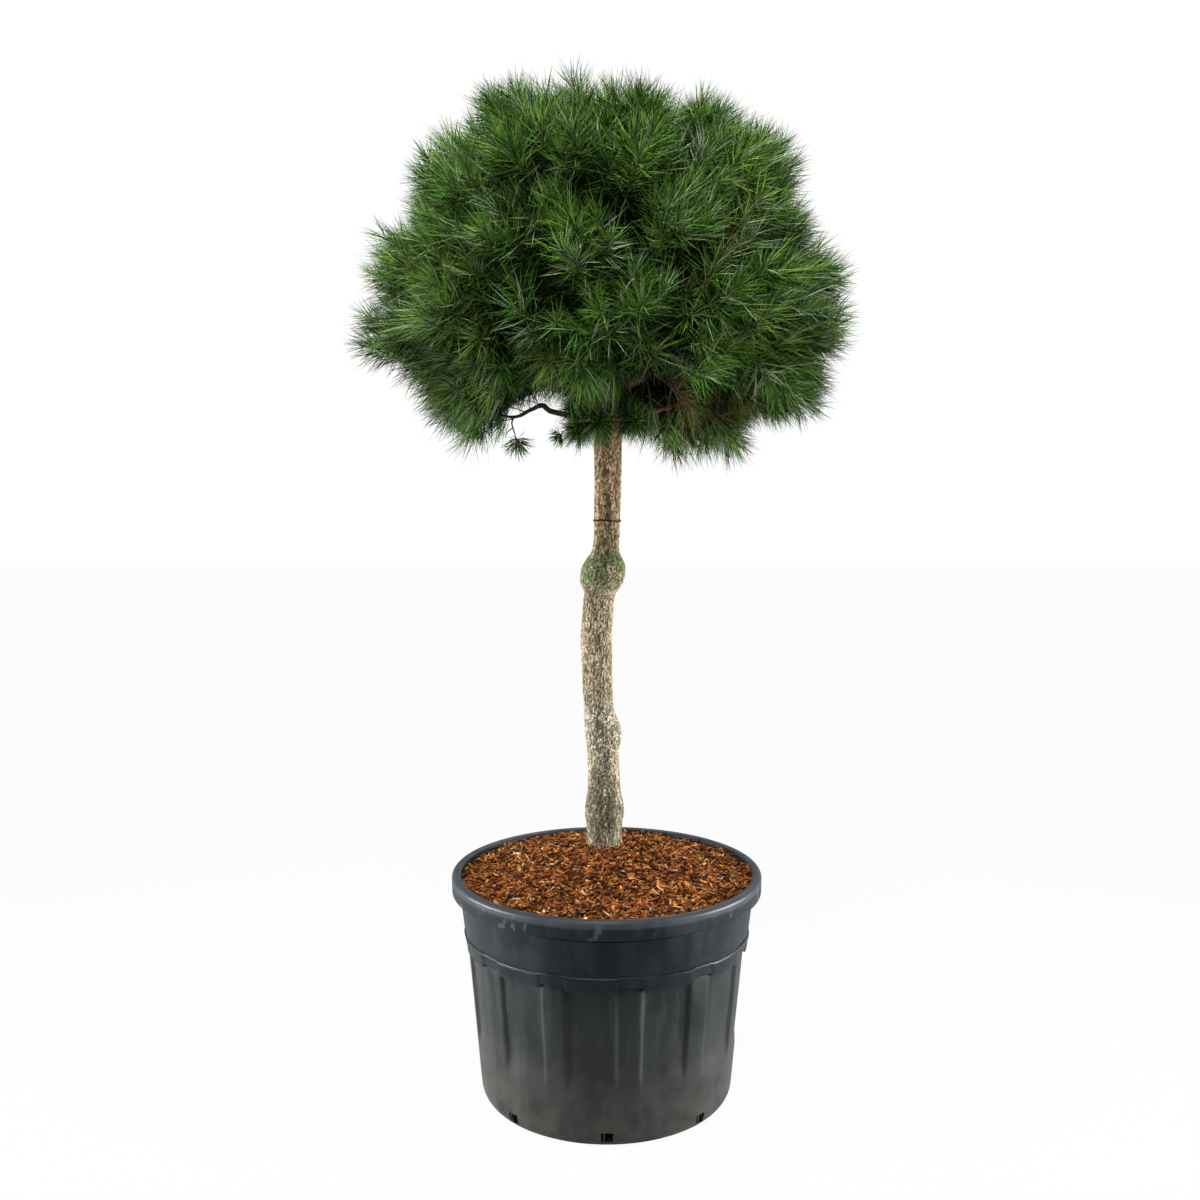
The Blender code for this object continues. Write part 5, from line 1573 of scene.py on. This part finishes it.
def shoot_blades(shoot, numbers, scale=1.0, keep_clear=True):
    """The corners of a shoot's needles, four for each, as an array."""
    axis = np.array([tuple(point) for point in shoot_axis(shoot)])
    pairs = int(PAIRS[shoot.layer] * scale)
    share = np.sort(numbers.uniform(0.06, 1.0, pairs))
    place = share * (len(axis) - 1)
    k = np.minimum(place.astype(int), len(axis) - 2)
    base = axis[k] + (axis[k + 1] - axis[k]) * (place - k)[:, None]
    tangent = unit_rows(axis[k + 1] - axis[k])
    across = unit_rows(np.cross(tangent, [0.31, 0.17, 0.93]))
    up = np.cross(tangent, across)
    turn = np.arange(pairs) * math.radians(GOLDEN_ANGLE) + numbers.uniform(-0.4, 0.4, pairs)
    radial = across * np.cos(turn)[:, None] + up * np.sin(turn)[:, None]
    lean = LEAN_FOOT + (LEAN_END - LEAN_FOOT) * share ** LEAN_CURVE
    lean = np.radians(lean + numbers.normal(0.0, LEAN_SPREAD, pairs))
    lean = np.where(share > TUFT_START, numbers.uniform(*TUFT_LEAN, pairs), lean)
    heading = tangent * np.cos(lean)[:, None] + radial * np.sin(lean)[:, None]
    base, heading = np.repeat(base, 2, axis=0), np.repeat(heading, 2, axis=0)
    tangent, share = np.repeat(tangent, 2, axis=0), np.repeat(share, 2)
    count = len(base)
    heading = unit_rows(heading + numbers.normal(0.0, NEEDLE_WANDER, (count, 3)))
    length = shoot.needle * numbers.uniform(*LENGTH_SPREAD, count) * (0.84 + 0.16 * np.sin(math.pi * share))
    side = unit_rows(np.cross(heading, numbers.normal(0.0, 1.0, (count, 3))))
    bend = tangent * BEND_FORWARD + numbers.normal(0.0, BEND_WANDER, (count, 3)) + [0.0, 0.0, BEND_DOWN]
    middle = base + heading * (WIDEST * length)[:, None]
    half = side * (0.5 * WIDTH[shoot.layer] * numbers.uniform(*WIDTH_SPREAD, count))[:, None]
    tip = base + heading * length[:, None] + bend * length[:, None]
    corners = np.stack([base, middle + half, middle - half, tip], axis=1)
    low, high = BARE_STRIP_X
    floor = NEEDLE_FLOOR + numbers.normal(0.0, FLOOR_SPREAD, count)
    unwanted = (tip[:, 0] > low) & (tip[:, 0] < high) & (tip[:, 2] < floor)
    window_low, window_high = OPEN_WINDOW
    unwanted |= ((tip > window_low) & (tip < window_high)).all(axis=1)
    return corners[~unwanted] if keep_clear else corners


# %% Join the blades
def needle_piece(name, parts):
    """One joined mesh from the blades of many shoots, each with its tint."""
    corners = np.concatenate([blades for blades, _ in parts])
    tints = np.concatenate([needle_tints_of(tint, len(blades), numbers) for blades, tint in parts])
    first = 4 * np.arange(len(corners))
    triangles = np.empty((len(corners), 2, 3), np.int64)
    triangles[:, 0] = np.stack([first, first + 2, first + 1], axis=1)
    triangles[:, 1] = np.stack([first + 1, first + 2, first + 3], axis=1)
    used = sorted(set(int(tint) for tint in tints))
    slot_of = {tint: k for k, tint in enumerate(used)}
    slots = np.repeat([slot_of[int(tint)] for tint in tints], 2)
    return mesh_object(name, corners.reshape(-1, 3), triangles.reshape(-1, 3),
                       [needle_tints[TINT_NAMES[tint]] for tint in used], slots)


# %% Grow the needles
tint_rng = random.Random(SEED + 1)
numbers = np.random.default_rng(SEED)
for name, shoots in shoots_of.items():
    parts = [(shoot_blades(shoot, numbers), deal_tint(shoot, tint_rng)) for shoot in shoots]
    piece = needle_piece(name.replace("foliage", "needles"), parts)
    place_piece(piece, "needles", name)

# %% [markdown]
# ## Small sprays
#
# Small sprays stand apart from the crown: one hangs from the twig under the left bough, and the
# others grow out of the stem and the bough just below the crown. Their shoots and needles are
# shorter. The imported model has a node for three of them.

# %% Small sprays
SPRAYS = {
    # name: (foot on the stem as azimuth and height, or its place, end, shoots, needles, reach, fullness)
    "hanging_spray": ((-.1700, .020, 1.2505), (-.1650, .012, 1.2320), 8, 0.036, 0.050, 0.20),
    "stem_spray_left": ((-55.0, 1.280), (-.0500, .020, 1.2540), 12, 0.042, 0.056, 0.40),
    "stem_spray_right": ((28.0, 1.286), (.0480, -.012, 1.2700), 13, 0.046, 0.062, 0.55),
    "sprig_front": ((-12.0, 1.300), (-.0160, -.012, 1.2640), 9, 0.046, 0.056, 0.40),
    "sprig_bough": ((-.0800, .016, 1.2500), (-.0850, .010, 1.2440), 6, 0.026, 0.034, 0.20),
    "sprig_outer": ((-.2260, .016, 1.2630), (-.2380, .010, 1.2560), 6, 0.034, 0.044, 0.30),
    "sprig_stem": ((-70.0, 1.306), (-.0520, .030, 1.2940), 12, 0.046, 0.060, 0.45),
}
SPRAY_LENGTH_SPREAD, SPRAY_NEEDLE_SPREAD = (0.8, 1.2), (0.85, 1.1)
SPRAY_FEET = (0.45, 0.5)  # where on the spray's stem its shoots begin
# the sprays' light deals them the half-lit tints of painted light
SPRAY_LIGHT, SPRAY_BROWN = 0.1, 0.05
print("small sprays:", ", ".join(SPRAYS))


def spray_shoots(name, rng):
    """The stem's line and the shoots of a small spray."""
    foot, end, count, needle, reach, _ = SPRAYS[name]
    end = Vector(end)
    if len(foot) == 3:
        start = Vector(foot)
    else:
        azimuth, height = foot
        start = trunk_centre(height) + direction(azimuth, 90.0) * (trunk_radius(height, azimuth) - 0.002)
    along = (end - start).normalized()
    across = along.orthogonal().normalized()
    shoots = []
    for k in range(count):
        turn = math.radians(GOLDEN_ANGLE * k + 40.0)
        side = across * math.cos(turn) + along.cross(across) * math.sin(turn)
        heading = (along * 0.9 + side * (0.25 + 0.65 * k / count) + Vector((0, 0, -0.15))).normalized()
        length = max(0.010, reach - needle) * rng.uniform(*SPRAY_LENGTH_SPREAD)
        foot = start.lerp(end, SPRAY_FEET[0] + SPRAY_FEET[1] * rng.random())
        shoots.append(Shoot("outer", foot, heading, length, needle * rng.uniform(*SPRAY_NEEDLE_SPREAD),
                            SPRAY_LIGHT, SPRAY_BROWN))
    return limb_line([start, start.lerp(end, 0.5), end], 0.0014, 0.0010, 7), shoots


# %% Grow the small sprays
for name, plan in SPRAYS.items():
    nodes = [name] if "spray" in name else []
    stem_line, shoots = spray_shoots(name, tint_rng)
    lines = [stem_line]
    lines += [([stem_line[0][3], *shoot_axis(shoot)[2:]], [0.0011, 0.0010, 0.0010, 0.0010, 0.0012])
              for shoot in shoots]
    place_piece(limb_object("twigs_" + name, lines, 6, young_bark), "young_bark", *nodes)
    parts = [(shoot_blades(shoot, numbers, plan[-1], keep_clear=False), deal_tint(shoot, tint_rng))
             for shoot in shoots]
    place_piece(needle_piece("needles_" + name, parts), "needles", *nodes)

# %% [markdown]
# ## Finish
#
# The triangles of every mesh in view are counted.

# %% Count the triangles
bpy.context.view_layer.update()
meshes = [obj.data for obj in bpy.context.scene.objects if obj.type == "MESH" and not obj.hide_render]
print("triangles in view:", sum(len(mesh.loops) - 2 * len(mesh.polygons) for mesh in meshes))
